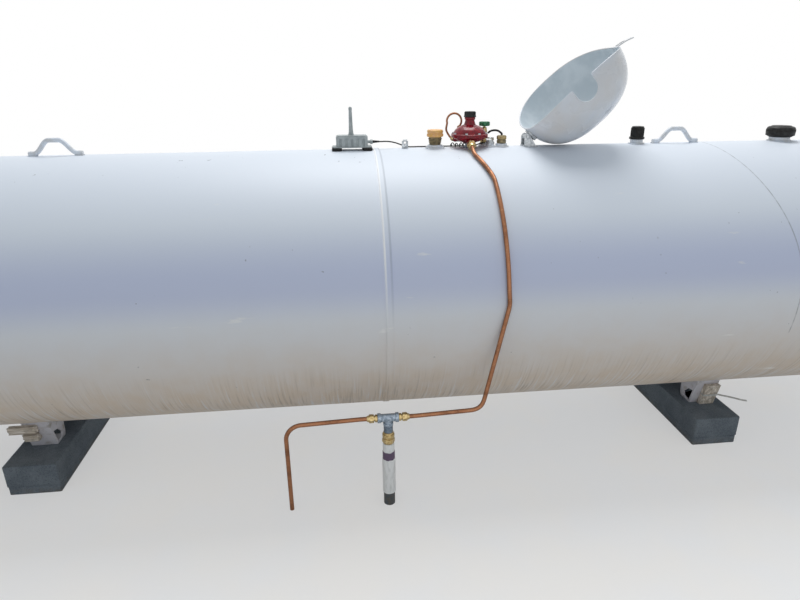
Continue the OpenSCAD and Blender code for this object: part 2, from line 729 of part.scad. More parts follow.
module copper_line() {
    exit = [regulator_x, 0, crown_h + outlet_h] + (outlet_reach + 3) * outlet_way;
    steps = 13;
    front = [for (i = [0:steps]) let (a = line_down + (line_off - line_down) * i / steps) on_shell(line_x(a), a)];
    side = rounded([on_shell(line_x(line_off), line_off), on_shell(line_x(line_off + 5) + 2, line_off + 5),
        [regulator_x - 46, -riser_y, tee_h + run_fall], [tee_x + tee_len / 2 + straight, -riser_y, tee_h],
        [tee_x + tee_len / 2 + 4, -riser_y, tee_h]], pipe_bend, 6);
    color(copper) tube(concat([exit, exit + 20 * outlet_way, exit + (nut_len + 2) * outlet_way], front,
        [for (i = [1:len(side) - 1]) side[i]]), copper_d / 2, 12);
}

// The second leg of the run, from the tee to the ground
drop_x = -398;
module copper_drop()
    color(copper) tube(rounded([[tee_x - tee_len / 2 - 4, -riser_y, tee_h],
        [tee_x - tee_len / 2 - straight, -riser_y, tee_h], [drop_x, -riser_y, tee_h - run_fall],
        [drop_x, -riser_y, 0]], drop_bend, 8), copper_d / 2, 12);

module flare_nuts()
    color(brass) for (s = [-1, 1])
        translate([tee_x + s * (tee_len / 2 + ring_gap), -riser_y, tee_h]) rotate([0, s * 90, 0])
            flare_nut(27, 38, copper_d + pipe_play);

tee_bore = copper_d + 2.4;
module tee()
    color("#8b99a6") difference() {
        union() {
            translate([tee_x, -riser_y, tee_h]) rotate([0, 90, 0]) {
                cylinder(d = 29, h = tee_len, center = true, $fn = 48);
                for (s = [-1, 1]) translate([0, 0, s * (tee_len / 2 - 6)]) cylinder(d = 35, h = 12, center = true, $fn = 48);
            }
            translate([tee_x, -riser_y, tee_h - 30]) cylinder(d = 29, h = 30, $fn = 48);
            translate([tee_x, -riser_y, tee_h - 30]) cylinder(d = 36, h = 11, $fn = 48);
        }
        for (s = [-1, 1]) translate([tee_x + s * (tee_len / 2 - 14), -riser_y, tee_h]) rotate([0, s * 90, 0])
            cylinder(d = tee_bore, h = 30, $fn = 48);
    }

// Heights of the standing pipe's pieces below the tee
nipple_top = tee_h - 30;
nipple_h = 26;
union_top = nipple_top - nipple_h;
union_h = 46;
union_hex = 40;
spigot_top = union_top - union_h;
spigot_d = riser_d - 6;
sleeve_top = spigot_top - 66;
sleeve_low = 52;

module riser_nipple()
    color("#8d9498") translate([tee_x, -riser_y, union_top]) cylinder(d = 33, h = nipple_h, $fn = 48);

module riser_union()
    color(brass) translate([tee_x, -riser_y, spigot_top]) {
        cylinder(d = 36, h = union_h, $fn = 48);
        translate([0, 0, 3]) cylinder(d = union_hex / cos(30), h = 17, $fn = 6);
        translate([0, 0, 24]) cylinder(d = 44, h = 14, $fn = 48);
    }

// White sleeve with a narrower socket above it
module riser_sleeve()
    color("#dfe2e0") translate([tee_x, -riser_y, sleeve_low]) {
        cylinder(d = riser_d, h = sleeve_top - sleeve_low, $fn = 64);
        cylinder(d = spigot_d + 3, h = sleeve_top + 31 - sleeve_low, $fn = 64);
        cylinder(d = spigot_d, h = spigot_top - sleeve_low, $fn = 64);
    }

module riser_pipe()
    color("#6c747b") translate([tee_x, -riser_y, 0]) cylinder(d = riser_d - 6, h = sleeve_low, $fn = 64);

shell_left();
shell_right();
seam_band();
head_left();
head_right();
end_welds();
foot_left_front();
foot_left_rear();
foot_right_front();
foot_right_rear();
block_left();
block_right();
footing_left();
footing_right();
packing_wood();
lug_left();
lug_right();
couplings();
fill_valve();
fill_cap();
regulator_stand();
regulator_case();
regulator_bonnet();
regulator_cap();
outlet_nut();
service_valve();
handwheel();
pigtail();
float_gauge();
gauge_lens();
liquid_valve();
vent_tube();
relief_cap();
vent_cap();
sender_feet();
sender_case();
sender_relief();
aerial();
sender_cable();
catch_tab();
hinge_bracket();
hinge_pin();
lid();
lid_strap();
lid_pull();
copper_line();
copper_drop();
flare_nuts();
tee();
riser_nipple();
riser_union();
riser_sleeve();
riser_pipe();
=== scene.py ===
"""Looks of a horizontal pressure tank: its finishes, modelled skins, small fittings, stage and camera."""

import json
import math

import bmesh
import bpy
import numpy as np
from bpy.props import FloatProperty, FloatVectorProperty, IntProperty, PointerProperty
from mathutils import Matrix, Vector, noise
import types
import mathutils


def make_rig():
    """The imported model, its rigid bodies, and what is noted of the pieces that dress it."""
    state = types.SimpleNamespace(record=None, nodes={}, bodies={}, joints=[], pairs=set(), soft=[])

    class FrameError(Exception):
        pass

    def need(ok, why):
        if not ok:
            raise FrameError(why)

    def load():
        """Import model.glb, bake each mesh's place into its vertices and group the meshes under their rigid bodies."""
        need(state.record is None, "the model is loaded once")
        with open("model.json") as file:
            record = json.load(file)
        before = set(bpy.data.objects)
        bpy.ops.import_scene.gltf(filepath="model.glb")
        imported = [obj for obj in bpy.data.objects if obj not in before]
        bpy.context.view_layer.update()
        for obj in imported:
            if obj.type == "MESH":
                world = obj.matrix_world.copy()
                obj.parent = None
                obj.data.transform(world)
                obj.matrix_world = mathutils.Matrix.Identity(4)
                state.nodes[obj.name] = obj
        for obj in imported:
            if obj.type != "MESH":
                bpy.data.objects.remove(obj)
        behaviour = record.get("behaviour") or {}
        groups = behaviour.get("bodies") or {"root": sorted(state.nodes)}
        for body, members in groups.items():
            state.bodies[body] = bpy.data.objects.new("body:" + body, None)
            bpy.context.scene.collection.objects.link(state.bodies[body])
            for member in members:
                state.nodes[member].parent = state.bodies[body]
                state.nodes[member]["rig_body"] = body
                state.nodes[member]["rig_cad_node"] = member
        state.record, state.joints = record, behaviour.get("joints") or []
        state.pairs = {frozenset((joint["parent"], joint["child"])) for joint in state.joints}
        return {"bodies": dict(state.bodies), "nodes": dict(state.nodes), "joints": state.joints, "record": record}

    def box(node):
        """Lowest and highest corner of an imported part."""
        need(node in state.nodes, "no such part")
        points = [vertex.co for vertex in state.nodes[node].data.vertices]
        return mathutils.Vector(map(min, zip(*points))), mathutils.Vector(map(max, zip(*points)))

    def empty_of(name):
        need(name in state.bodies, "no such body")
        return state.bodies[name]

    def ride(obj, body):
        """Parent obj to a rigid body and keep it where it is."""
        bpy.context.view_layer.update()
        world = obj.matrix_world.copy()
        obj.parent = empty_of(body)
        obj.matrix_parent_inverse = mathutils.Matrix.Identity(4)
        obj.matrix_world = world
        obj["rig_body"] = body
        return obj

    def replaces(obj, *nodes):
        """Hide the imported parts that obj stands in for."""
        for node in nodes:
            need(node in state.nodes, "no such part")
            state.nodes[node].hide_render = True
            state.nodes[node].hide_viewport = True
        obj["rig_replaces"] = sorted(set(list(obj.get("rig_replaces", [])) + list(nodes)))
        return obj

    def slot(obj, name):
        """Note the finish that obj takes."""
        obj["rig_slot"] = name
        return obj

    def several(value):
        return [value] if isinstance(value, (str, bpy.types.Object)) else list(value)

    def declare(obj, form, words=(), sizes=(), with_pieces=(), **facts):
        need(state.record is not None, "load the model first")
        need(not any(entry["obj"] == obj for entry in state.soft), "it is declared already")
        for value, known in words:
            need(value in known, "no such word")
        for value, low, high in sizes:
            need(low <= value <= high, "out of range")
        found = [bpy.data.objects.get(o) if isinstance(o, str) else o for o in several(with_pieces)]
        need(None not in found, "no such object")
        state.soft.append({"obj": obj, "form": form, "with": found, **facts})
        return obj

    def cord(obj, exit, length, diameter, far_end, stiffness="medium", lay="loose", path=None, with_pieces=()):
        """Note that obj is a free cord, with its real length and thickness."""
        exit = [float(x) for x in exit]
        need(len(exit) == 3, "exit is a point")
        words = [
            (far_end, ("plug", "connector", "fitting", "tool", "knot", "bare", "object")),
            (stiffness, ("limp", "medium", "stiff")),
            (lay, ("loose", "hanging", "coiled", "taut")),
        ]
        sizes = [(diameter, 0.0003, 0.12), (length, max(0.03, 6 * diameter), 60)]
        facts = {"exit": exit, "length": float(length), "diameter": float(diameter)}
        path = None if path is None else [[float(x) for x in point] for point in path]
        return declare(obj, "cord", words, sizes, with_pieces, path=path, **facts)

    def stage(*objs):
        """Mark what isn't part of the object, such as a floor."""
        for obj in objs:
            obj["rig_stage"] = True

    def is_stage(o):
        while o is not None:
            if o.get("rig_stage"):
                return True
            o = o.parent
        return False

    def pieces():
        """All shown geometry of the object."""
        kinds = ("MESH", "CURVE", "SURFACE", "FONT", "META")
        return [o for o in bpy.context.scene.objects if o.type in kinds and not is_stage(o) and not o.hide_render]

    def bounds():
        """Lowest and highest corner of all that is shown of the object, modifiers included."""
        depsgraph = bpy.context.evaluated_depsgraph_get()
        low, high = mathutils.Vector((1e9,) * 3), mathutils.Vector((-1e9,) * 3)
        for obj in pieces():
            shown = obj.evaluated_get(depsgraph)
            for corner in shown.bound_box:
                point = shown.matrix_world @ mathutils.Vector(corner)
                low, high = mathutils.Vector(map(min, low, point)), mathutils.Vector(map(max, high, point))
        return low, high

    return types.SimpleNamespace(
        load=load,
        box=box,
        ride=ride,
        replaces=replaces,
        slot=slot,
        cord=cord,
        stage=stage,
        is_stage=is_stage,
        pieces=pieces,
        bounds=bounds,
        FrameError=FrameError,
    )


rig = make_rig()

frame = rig.load()        # bodies, nodes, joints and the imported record
cad_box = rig.bounds()

bl_info = {
    "name": "Horizontal pressure tank",
    "version": (1, 0, 0),
    "blender": (4, 5, 0),
    "location": "View3D > Sidebar > Tank",
    "description": "Dresses the packed tank with its finishes, fittings, stage and camera",
    "category": "Object",
}

MM = 0.001

# Places that come from the frame
shell_low, shell_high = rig.box("shell_right")
shell_r = (shell_high.z - shell_low.z) / 2
axis_h = (shell_high.z + shell_low.z) / 2
crown_h = shell_high.z
seam_x = shell_low.x
end_x = shell_high.x
joints = {joint["name"]: joint for joint in frame["joints"]}
hinge = Vector(joints["lid_hinge"]["pos_m"])
wheel_at = Vector(joints["wheel_turn"]["pos_m"])
lid_open = math.radians(joints["lid_hinge"]["range_deg"][1])
regulator_x = (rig.box("regulator_bonnet")[0].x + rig.box("regulator_bonnet")[1].x) / 2

# Sockets of the colour mixing node
SHARE, FIRST, SECOND, MIXED = 0, 6, 7, 2


def linear(code):
    """Turns an sRGB hex colour into a linear one."""
    parts = [int(code[i:i + 2], 16) / 255 for i in (1, 3, 5)]
    return (*[p / 12.92 if p <= 0.04045 else ((p + 0.055) / 1.055) ** 2.4 for p in parts], 1.0)


def paint(name, description, code):
    """A colour that a user can change."""
    return FloatVectorProperty(name=name, description=description, subtype="COLOR", size=4, min=0, max=1,
                               default=linear(code))


def length(name, description, default, unit="LENGTH"):
    """A size that a user can change, in metres or in another unit."""
    return FloatProperty(name=name, description=description, default=default, min=0, unit=unit)


class TankColours(bpy.types.PropertyGroup):
    """Colours of the finishes."""

    enamel: paint("Enamel", "White enamel of the vessel", "#e4eaf2")
    # The lid inside's bluish tint is painted light from the sky
    lid_inside_sky_tint: paint("Lid inside", "Thin enamel inside the lid", "#dee5e9")
    # The dust colour is also painted warm light from the ground
    dust: paint("Dust", "Dust film on the lower half", "#d5bfa4")
    drip: paint("Drips", "Dirt in the drip marks", "#6d665d")
    concrete: paint("Concrete", "Precast sleepers", "#636b73")
    red: paint("Regulator", "Red powder coat", "#980c1f")
    black: paint("Black", "Black moulded caps", "#161615")
    yellow: paint("Filling cap", "Yellow moulded cap", "#efba60")
    olive: paint("Filling valve", "Dulled brass of the filling valve", "#7d735c")
    brass: paint("Brass", "Machined brass", "#c8b384")
    copper: paint("Copper", "Drawn copper pipe", "#96694e")
    galvanised: paint("Galvanised", "Hot dip galvanised iron", "#a5b1bd")
    zinc: paint("Zinc plate", "Zinc plated steel", "#c9cdd0")
    green: paint("Handwheel", "Green enamel", "#12834f")
    grey: paint("Transmitter", "Grey moulded case", "#b4bab9")
    sleeve: paint("Sleeve", "White plastic sleeve", "#f1f1ef")
    pipe: paint("Standing pipe", "Grey plastic pipe", "#434a50")
    primer: paint("Primer", "Purple primer band", "#5a4560")


class TankSizes(bpy.types.PropertyGroup):
    """Sizes of the modelled skins and fittings."""

    lid_length: length("Lid length", "Length of the domed lid", 440 * MM)
    lid_width: length("Lid width", "Width of the domed lid", 404 * MM)
    lid_crown: length("Lid crown", "Height of the shut lid's crown above the shell", 190 * MM)
    lid_sheet: length("Lid sheet", "Sheet of the lid", 3 * MM)
    lid_gap: length("Lid gap", "Gap between the shut lid and the shell", 11 * MM)
    lid_end_gap: length("Hinge gap", "Hinge pin to the lid's end", 17 * MM)
    lid_form: FloatProperty(name="Lid form", description="How full the lid's ends are", default=2.5, min=2)
    notch_width: length("Notch width", "Width of the pipe notch", 88 * MM)
    notch_height: length("Notch height", "Height of the pipe notch", 78 * MM)
    bead: length("Weld bead", "Width of the fillet welds", 6 * MM)
    pipe: length("Copper pipe", "Diameter of the copper pipe", 15.9 * MM)
    lead: length("Lead", "Diameter of the transmitter's lead", 5 * MM)
    screws: IntProperty(name="Flange screws", description="Screws round the regulator's flange", default=8,
                        min=3)


class TankStage(bpy.types.PropertyGroup):
    """Floor and lamps."""

    floor: paint("Floor", "Plain pale floor", "#e7e2da")
    key: length("Key lamp", "Power of the lamp above", 150, "POWER")
    fill: length("Fill lamp", "Power of the front lamp", 24, "POWER")
    sky: length("Sky", "Level of the even light", 0.44, "NONE")


# Shapes

def turns(count):
    """Evenly spaced angles of a whole turn."""
    return [math.tau * k / count for k in range(count)]


def crown_at(y):
    """Height of the shell's top at a distance from its middle plane."""
    return axis_h + math.sqrt(shell_r * shell_r - y * y)


def on_crown(x, y=0.0, up=0.0):
    """Matrix that stands a turned piece on the crown line."""
    return Matrix.Translation((x, y, crown_h + up))


def along(start, way):
    """Matrix that puts a turned piece's foot at a point, with its axis along a direction."""
    return Matrix.Translation(start) @ Vector(way).to_track_quat("Z", "Y").to_matrix().to_4x4()


def eased(profile, radius, steps=3):
    """A profile with its corners rounded, apart from its two ends."""
    points = [Vector(p) for p in profile]
    made = [points[0]]
    most = 0.45    # of a side's length, so that two corners never meet
    for before, here, after in zip(points, points[1:], points[2:]):
        first, second = before - here, after - here
        reach = min(radius, first.length * most, second.length * most)
        a, b = here + first.normalized() * reach, here + second.normalized() * reach
        for i in range(steps + 1):
            t = i / steps
            made.append((1 - t) ** 2 * a + 2 * t * (1 - t) * here + t * t * b)
    return made + [points[-1]]


def turned(profile, segments=64, place=Matrix(), closed=False, unit=MM):
    """Points and faces of a profile of (radius, height) turned about Z. A radius of 0 is a pole."""
    points, rings, faces = [], [], []
    for radius, height in profile:
        angles = turns(segments)[:1 if radius < 1e-9 else segments]
        rings.append([len(points) + k for k in range(len(angles))])
        points += [place @ (Vector((radius * math.cos(a), radius * math.sin(a), height)) * unit)
                   for a in angles]
    for low, high in zip(rings, rings[1:] + (rings[:1] if closed else [])):
        for k in range(segments):
            j = (k + 1) % segments
            if len(low) > 1 and len(high) > 1:
                faces.append((low[k], low[j], high[j], high[k]))
            elif len(high) > 1:
                faces.append((low[0], high[j], high[k]))
            elif len(low) > 1:
                faces.append((low[k], low[j], high[0]))
    return points, faces


def solid(*points):
    """A profile through points of (radius, height), closed to the axis at its foot and its top."""
    top = [] if points[-1][0] == 0 else [(0, points[-1][1])]
    return [(0, points[0][1]), *points, *top]


def bored(bore, points, ease, segments=48):
    """A turned shape in millimetres with a bore of that radius through it."""
    profile = eased([(bore, points[0][1]), *points, (bore, points[-1][1])], ease)
    return turned(profile, segments, closed=True, unit=1)


def swept(path, radius, sides=20, closed=False):
    """Points and faces of a round bar along a path. A list of radii gives each point its own."""
    path = np.array([tuple(p) for p in path])
    count = len(path)
    ways = np.roll(path, -1, 0) - np.roll(path, 1, 0) if closed else np.gradient(path, axis=0)
    ways /= np.linalg.norm(ways, axis=1)[:, None]
    side = np.cross(ways[0], (0, 0, 1) if abs(ways[0][2]) < 0.9 else (1, 0, 0))
    radii = radius if hasattr(radius, "__len__") else [radius] * count
    points, faces, sides_at = [], [], []
    for way in ways:
        side = side - way * (side @ way)
        side /= np.linalg.norm(side)
        sides_at.append(side)
    twist = 0.0
    if closed:
        last, way = sides_at[-1] - ways[0] * (sides_at[-1] @ ways[0]), ways[0]
        twist = math.atan2(np.cross(last, sides_at[0]) @ way, last @ sides_at[0])
    for i in range(count):
        other = np.cross(ways[i], sides_at[i])
        for k in range(sides):
            turn = math.tau * k / sides + twist * i / count
            out = math.cos(turn) * sides_at[i] + math.sin(turn) * other
            points.append(Vector(path[i] + radii[i] * out))
    for i in range(count if closed else count - 1):
        a, b = i * sides, (i + 1) % count * sides
        faces += [(a + k, a + (k + 1) % sides, b + (k + 1) % sides, b + k) for k in range(sides)]
    if not closed:
        faces.append(tuple(range(sides - 1, -1, -1)))
        faces.append(tuple(range((count - 1) * sides, count * sides)))
    return points, faces


def smooth_path(points, steps=6):
    """A smooth curve through points."""
    points = [Vector(p) for p in points]
    made = []
    for i in range(len(points) - 1):
        a, b, c, d = (points[min(max(i + k, 0), len(points) - 1)] for k in (-1, 0, 1, 2))
        for s in (k / steps for k in range(steps)):
            made.append(b + (c - a) * s / 2 + (2 * a - 5 * b + 4 * c - d) * s * s / 2
                        + (3 * b - a - 3 * c + d) * s ** 3 / 2)
    return made + [points[-1]]


def rounded_path(points, radius, steps=10):
    """A path of straight runs with round bends between them."""
    points = [Vector(p) for p in points]
    made = [points[0]]
    for before, here, after in zip(points, points[1:], points[2:]):
        u, v = (before - here).normalized(), (after - here).normalized()
        half = u.angle(v) / 2
        middle = here + (u + v).normalized() * radius / math.sin(half)
        p, q = here + u * radius / math.tan(half) - middle, here + v * radius / math.tan(half) - middle
        sweep = math.pi - 2 * half
        for i in range(steps + 1):
            t = i / steps
            made.append(middle + (math.sin(sweep * (1 - t)) * p + math.sin(sweep * t) * q) / math.sin(sweep))
    return made + [points[-1]]


def spaced(path, spacing, closed=False):
    """The same path in even steps of about a spacing."""
    ends = path[1:] + (path[:1] if closed else [])
    lengths = [(b - a).length for a, b in zip(path, ends)]
    total = sum(lengths)
    count = round(total / spacing)
    made, i, gone = [], 0, 0.0
    for k in range(count):
        target = total * k / count
        while gone + lengths[i] < target:
            gone += lengths[i]
            i += 1
        made.append(path[i].lerp(ends[i], (target - gone) / lengths[i]))
    return made if closed else made + [path[-1]]


def joined(*parts):
    """Several lists of points and faces as one."""
    points, faces = [], []
    for some_points, some_faces in parts:
        start = len(points)
        points += some_points
        faces += [tuple(start + i for i in face) for face in some_faces]
    return points, faces


def hexagon(across, low, high, chamfer, bore=0.0):
    """Points and faces of a hexagon nut standing on Z, with its corners chamfered as turned ones are."""
    corner, flat, steps = across / math.sqrt(3), across / 2, 60
    inner = flat * 0.94    # a ring on each flat end keeps the chamfer's edge crisp
    points, faces, rings = [], [], []

    def ring(height, radius=None, lift=0.0):
        """A round ring of points, or one along the flats that is lifted towards the corners."""
        rings.append([len(points) + k for k in range(steps)])
        for turn in turns(steps):
            fold = turn % (math.pi / 3) - math.pi / 6    # a corner lies on X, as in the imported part
            out = radius or flat / math.cos(fold)
            level = height + lift * (out - flat) / (corner - flat)
            points.append((out * math.cos(turn), out * math.sin(turn), level))

    ring(low, inner)
    ring(low, flat)
    ring(low, lift=chamfer)
    ring(high, lift=-chamfer)
    ring(high, flat)
    ring(high, inner)
    if bore:
        ring(high, bore)
        ring(low, bore)
        rings.append(rings[0])
    else:
        faces += [tuple(rings[0][::-1]), tuple(rings[-1])]
    for a, b in zip(rings, rings[1:]):
        faces += [(a[k], a[(k + 1) % steps], b[(k + 1) % steps], b[k]) for k in range(steps)]
    return points, faces


def placed(shape, place):
    """A shape in millimetres, moved to its place in metres."""
    points, faces = shape
    return [place @ (Vector(p) * MM) for p in points], faces


def screw_shape(across, tall, washer):
    """A hexagon screw head on its washer, in millimetres."""
    plate = turned(eased(solid((washer, -0.4), (washer, 1.0)), 0.4, 2), 24, unit=1)
    return joined(plate, hexagon(across, 1.0, 1.0 + tall, tall * 0.2))


# Objects

def new_object(name, points, faces, edges=()):
    """A mesh object at the origin."""
    mesh = bpy.data.meshes.new(name)
    mesh.from_pydata([tuple(p) for p in points], list(edges), faces)
    mesh.validate()
    made = bpy.data.objects.new(name, mesh)
    bpy.context.scene.collection.objects.link(made)
    return made


def settled(item):
    """The object with its modifiers turned into plain mesh."""
    graph = bpy.context.evaluated_depsgraph_get()
    mesh = bpy.data.meshes.new_from_object(item.evaluated_get(graph), depsgraph=graph)
    item.modifiers.clear()
    item.data = mesh
    return item


def finished(item, finish, instead="", slot=None, body="tank", sharp=32):
    """Shades a piece, lets it ride on its body and says its slot and which part it stands for."""
    item.data.shade_smooth()
    item.data.set_sharp_from_angle(angle=math.radians(sharp))
    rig.ride(item, body)
    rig.slot(item, slot or slots.get(finish, finish))
    if instead:
        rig.replaces(item, instead)
    return item


def piece(name, shape, finish, instead="", slot=None, body="tank", sharp=32):
    """Makes a finished piece from points and faces."""
    item = new_object(name, *shape)
    item.data.materials.append(finishes[finish])
    return finished(item, finish, instead, slot, body, sharp)


def lathed(name, points, ease, segments, place, finish, instead, slot=None, steps=3):
    """Makes a solid turned piece from points of (radius, height) in millimetres, with its corners eased."""
    return piece(name, turned(eased(solid(*points), ease, steps), segments, place), finish, instead, slot)


def dressed(node, finish, bevel):
    """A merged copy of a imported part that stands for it, its edges softened by a bevel in millimetres."""
    source = frame["nodes"][node]
    item = new_object(node + "_skin", [], [])
    same_place, flat, corner = 0.02 * MM, math.radians(1), math.radians(35)
    build = bmesh.new()
    build.from_mesh(source.data)
    bmesh.ops.remove_doubles(build, verts=build.verts, dist=same_place)
    bmesh.ops.dissolve_limit(build, angle_limit=flat, verts=build.verts, edges=build.edges)
    for face in build.faces:
        face.material_index = 0
    build.to_mesh(item.data)
    build.free()
    item.data.materials.clear()
    item.data.materials.append(finishes[finish])
    if bevel:
        edge = item.modifiers.new("Edges", "BEVEL")
        edge.width = bevel * MM
        edge.segments = 2
        edge.limit_method = "ANGLE"
        edge.angle_limit = corner
        edge.harden_normals = False
        settled(item)
    return finished(item, finish, node, body=source["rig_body"])


# Geometry nodes

def add(tree, kind, inputs=None, **fields):
    """Adds a node, sets its fields, and sets or links each of its inputs."""
    made = tree.nodes.new(kind)
    for name, value in fields.items():
        setattr(made, name, value)
    for key, value in (inputs or {}).items():
        if isinstance(value, bpy.types.NodeSocket):
            tree.links.new(value, made.inputs[key])
        else:
            made.inputs[key].default_value = value
    return made


def new_tree(name, sockets):
    """A geometry tree with its named inputs, and its input and output nodes."""
    tree = bpy.data.node_groups.new(name, "GeometryNodeTree")
    for socket, kind in sockets:
        tree.interface.new_socket(name=socket, in_out="INPUT", socket_type="NodeSocket" + kind)
    tree.interface.new_socket(name="Geometry", in_out="OUTPUT", socket_type="NodeSocketGeometry")
    return tree, add(tree, "NodeGroupInput").outputs, add(tree, "NodeGroupOutput")


def close_tree(tree, geometry, finish, end):
    """Realizes what a tree has made and gives it its material."""
    real = add(tree, "GeometryNodeRealizeInstances", {"Geometry": geometry})
    dressed_up = add(tree, "GeometryNodeSetMaterial", {"Geometry": real.outputs[0], "Material": finish})
    tree.links.new(dressed_up.outputs[0], end.inputs[0])


def ring_tree():
    """Copies of a small part round a circle, each turned outwards."""
    tree, given, end = new_tree("Parts round a circle", [
        ("Part", "Object"), ("Count", "Int"), ("Radius", "Float"), ("Finish", "Material")])
    circle = add(tree, "GeometryNodeMeshCircle", {"Vertices": given["Count"], "Radius": given["Radius"]})
    step = add(tree, "ShaderNodeMath", {0: math.tau, 1: given["Count"]}, operation="DIVIDE")
    index = add(tree, "GeometryNodeInputIndex")
    turn = add(tree, "ShaderNodeMath", {0: index.outputs[0], 1: step.outputs[0]}, operation="MULTIPLY")
    turning = add(tree, "ShaderNodeCombineXYZ", {"Z": turn.outputs[0]})
    part = add(tree, "GeometryNodeObjectInfo", {"Object": given["Part"]}, transform_space="ORIGINAL")
    copies = add(tree, "GeometryNodeInstanceOnPoints", {
        "Points": circle.outputs[0], "Instance": part.outputs["Geometry"], "Rotation": turning.outputs[0]})
    close_tree(tree, copies.outputs[0], given["Finish"], end)
    return tree


def bead_tree():
    """Ripples of a weld along a path of edges."""
    tree, given, end = new_tree("Weld bead along a path", [
        ("Path", "Geometry"), ("Ripple", "Object"), ("Spacing", "Float"), ("Seed", "Int"),
        ("Finish", "Material")])
    curve = add(tree, "GeometryNodeMeshToCurve", {"Mesh": given["Path"]})
    dots = add(tree, "GeometryNodeCurveToPoints", {"Curve": curve.outputs[0], "Length": given["Spacing"]},
               mode="LENGTH")
    size = add(tree, "FunctionNodeRandomValue", {"Seed": given["Seed"], 2: 0.88, 3: 1.12}, data_type="FLOAT")
    ripple = add(tree, "GeometryNodeObjectInfo", {"Object": given["Ripple"]}, transform_space="ORIGINAL")
    copies = add(tree, "GeometryNodeInstanceOnPoints", {
        "Points": dots.outputs["Points"], "Instance": ripple.outputs["Geometry"],
        "Rotation": dots.outputs["Rotation"], "Scale": size.outputs[1]})
    close_tree(tree, copies.outputs[0], given["Finish"], end)
    return tree


def grown(name, tree, carrier, inputs):
    """Runs a geometry tree on an object and keeps the plain mesh."""
    worker = carrier.modifiers.new("Grow", "NODES")
    worker.node_group = tree
    for socket in tree.interface.items_tree:
        if socket.in_out == "INPUT" and socket.name in inputs:
            worker[socket.identifier] = inputs[socket.name]
    settled(carrier)
    carrier.name = name
    return carrier


def ring_of(name, shape, count, radius, place, finish):
    """A ring of small parts as one piece. The part is in millimetres, its outward side along X."""
    part = new_object("part", *placed(shape, Matrix()))
    made = grown(name, trees["ring"], new_object(name, [], []), {
        "Part": part, "Count": count, "Radius": radius * MM, "Finish": finishes[finish]})
    bpy.data.objects.remove(part)
    made.data.transform(place)
    return finished(made, finish)


def pegs(name, width, tall, ease, segments, count, radius, place, finish, tip=None):
    """A ring of small round pegs as one piece, such as the grips of a cap. Sizes are in millimetres."""
    peg = turned(eased(solid((width, 0), (tip or width, tall)), ease, 2), segments, unit=1)
    return ring_of(name, peg, count, radius, place, finish)


def weld(name, paths, seed, finish="fitting_enamel", closed=True):
    """A fillet weld of overlapping ripples along paths, as one piece."""
    bead = bpy.context.scene.tank_sizes.bead
    step, flatness = bead * 0.42, 0.8    # from one ripple to the next, and how flat each one is
    points, edges = [], []
    for path in paths:
        start = len(points)
        points += path
        edges += [(start + i, start + i + 1) for i in range(len(path) - 1)]
        if closed:
            edges.append((start + len(path) - 1, start))
    ball = bmesh.new()
    bmesh.ops.create_icosphere(ball, subdivisions=2, radius=bead / 2)
    bmesh.ops.scale(ball, verts=ball.verts, vec=(1.0, 1.0, flatness))
    ripple = new_object("ripple", [], [])
    ball.to_mesh(ripple.data)
    ball.free()
    made = grown(name, trees["bead"], new_object(name, points, [], edges), {
        "Ripple": ripple, "Spacing": step, "Seed": seed, "Finish": finishes[finish]})
    bpy.data.objects.remove(ripple)
    return finished(made, finish, sharp=80)


# Finishes

finishes = {}
trees = {}
# Slots of the finishes whose slot isn't called as they are
slots = {
    "vessel_enamel": "white_enamel", "fitting_enamel": "white_enamel", "stand_enamel": "white_enamel",
    "lid_enamel": "white_enamel", "timber_lying": "timber", "strapping": "white_plastic",
    "sleeve": "white_plastic", "black_nylon": "black_plastic", "grey_case": "grey_plastic",
    "dull_brass": "brass", "zinc": "zinc_steel", "red_coat": "red_paint", "green_enamel": "green_wheel",
}


def begin(name):
    """Starts a material: its tree, its shader and its Object coordinates."""
    material = bpy.data.materials.new(name)
    material.use_nodes = True
    tree = material.node_tree
    finishes[name] = material
    return tree, tree.nodes["Principled BSDF"], add(tree, "ShaderNodeTexCoord").outputs["Object"]


def patches(tree, where, size, low=0.35, high=0.65, detail=3.0, stretch=(1, 1, 1)):
    """A soft pattern from 0 to 1 whose patches are about size metres across."""
    spread = add(tree, "ShaderNodeVectorMath", {0: where, 1: stretch}, operation="MULTIPLY")
    cloud = add(tree, "ShaderNodeTexNoise", {
        "Vector": spread.outputs[0], "Scale": 1 / size, "Detail": detail, "Roughness": 0.55})
    edge = add(tree, "ShaderNodeMapRange", {"Value": cloud.outputs[0], "From Min": low, "From Max": high},
               interpolation_type="SMOOTHSTEP")
    return edge.outputs[0]


def surfaced(tree, shader, rough, height=None, depth=0.0, strength=1.0):
    """Sets the roughness, a value or (pattern, least, most), and raises a pattern by depth metres."""
    if isinstance(rough, tuple):
        pattern, least, most = rough
        gloss = add(tree, "ShaderNodeMapRange", {"Value": pattern, "To Min": least, "To Max": most})
        tree.links.new(gloss.outputs[0], shader.inputs["Roughness"])
    else:
        shader.inputs["Roughness"].default_value = rough
    if height is not None:
        bump = add(tree, "ShaderNodeBump", {"Height": height, "Distance": depth, "Strength": strength})
        tree.links.new(bump.outputs[0], shader.inputs["Normal"])


def coated(tree, shader, tone, *coats):
    """Colours the shader: a tone, then coats of a colour and the patterns that say how much it covers."""
    for colour, share, *others in coats:
        colour = linear(colour) if isinstance(colour, str) else colour
        for other in others:
            share = add(tree, "ShaderNodeMath", {0: share, 1: other}, operation="MULTIPLY").outputs[0]
        tone = add(tree, "ShaderNodeMix", {SHARE: share, FIRST: tone, SECOND: colour},
                   data_type="RGBA").outputs[MIXED]
    tree.links.new(tone, shader.inputs["Base Color"])


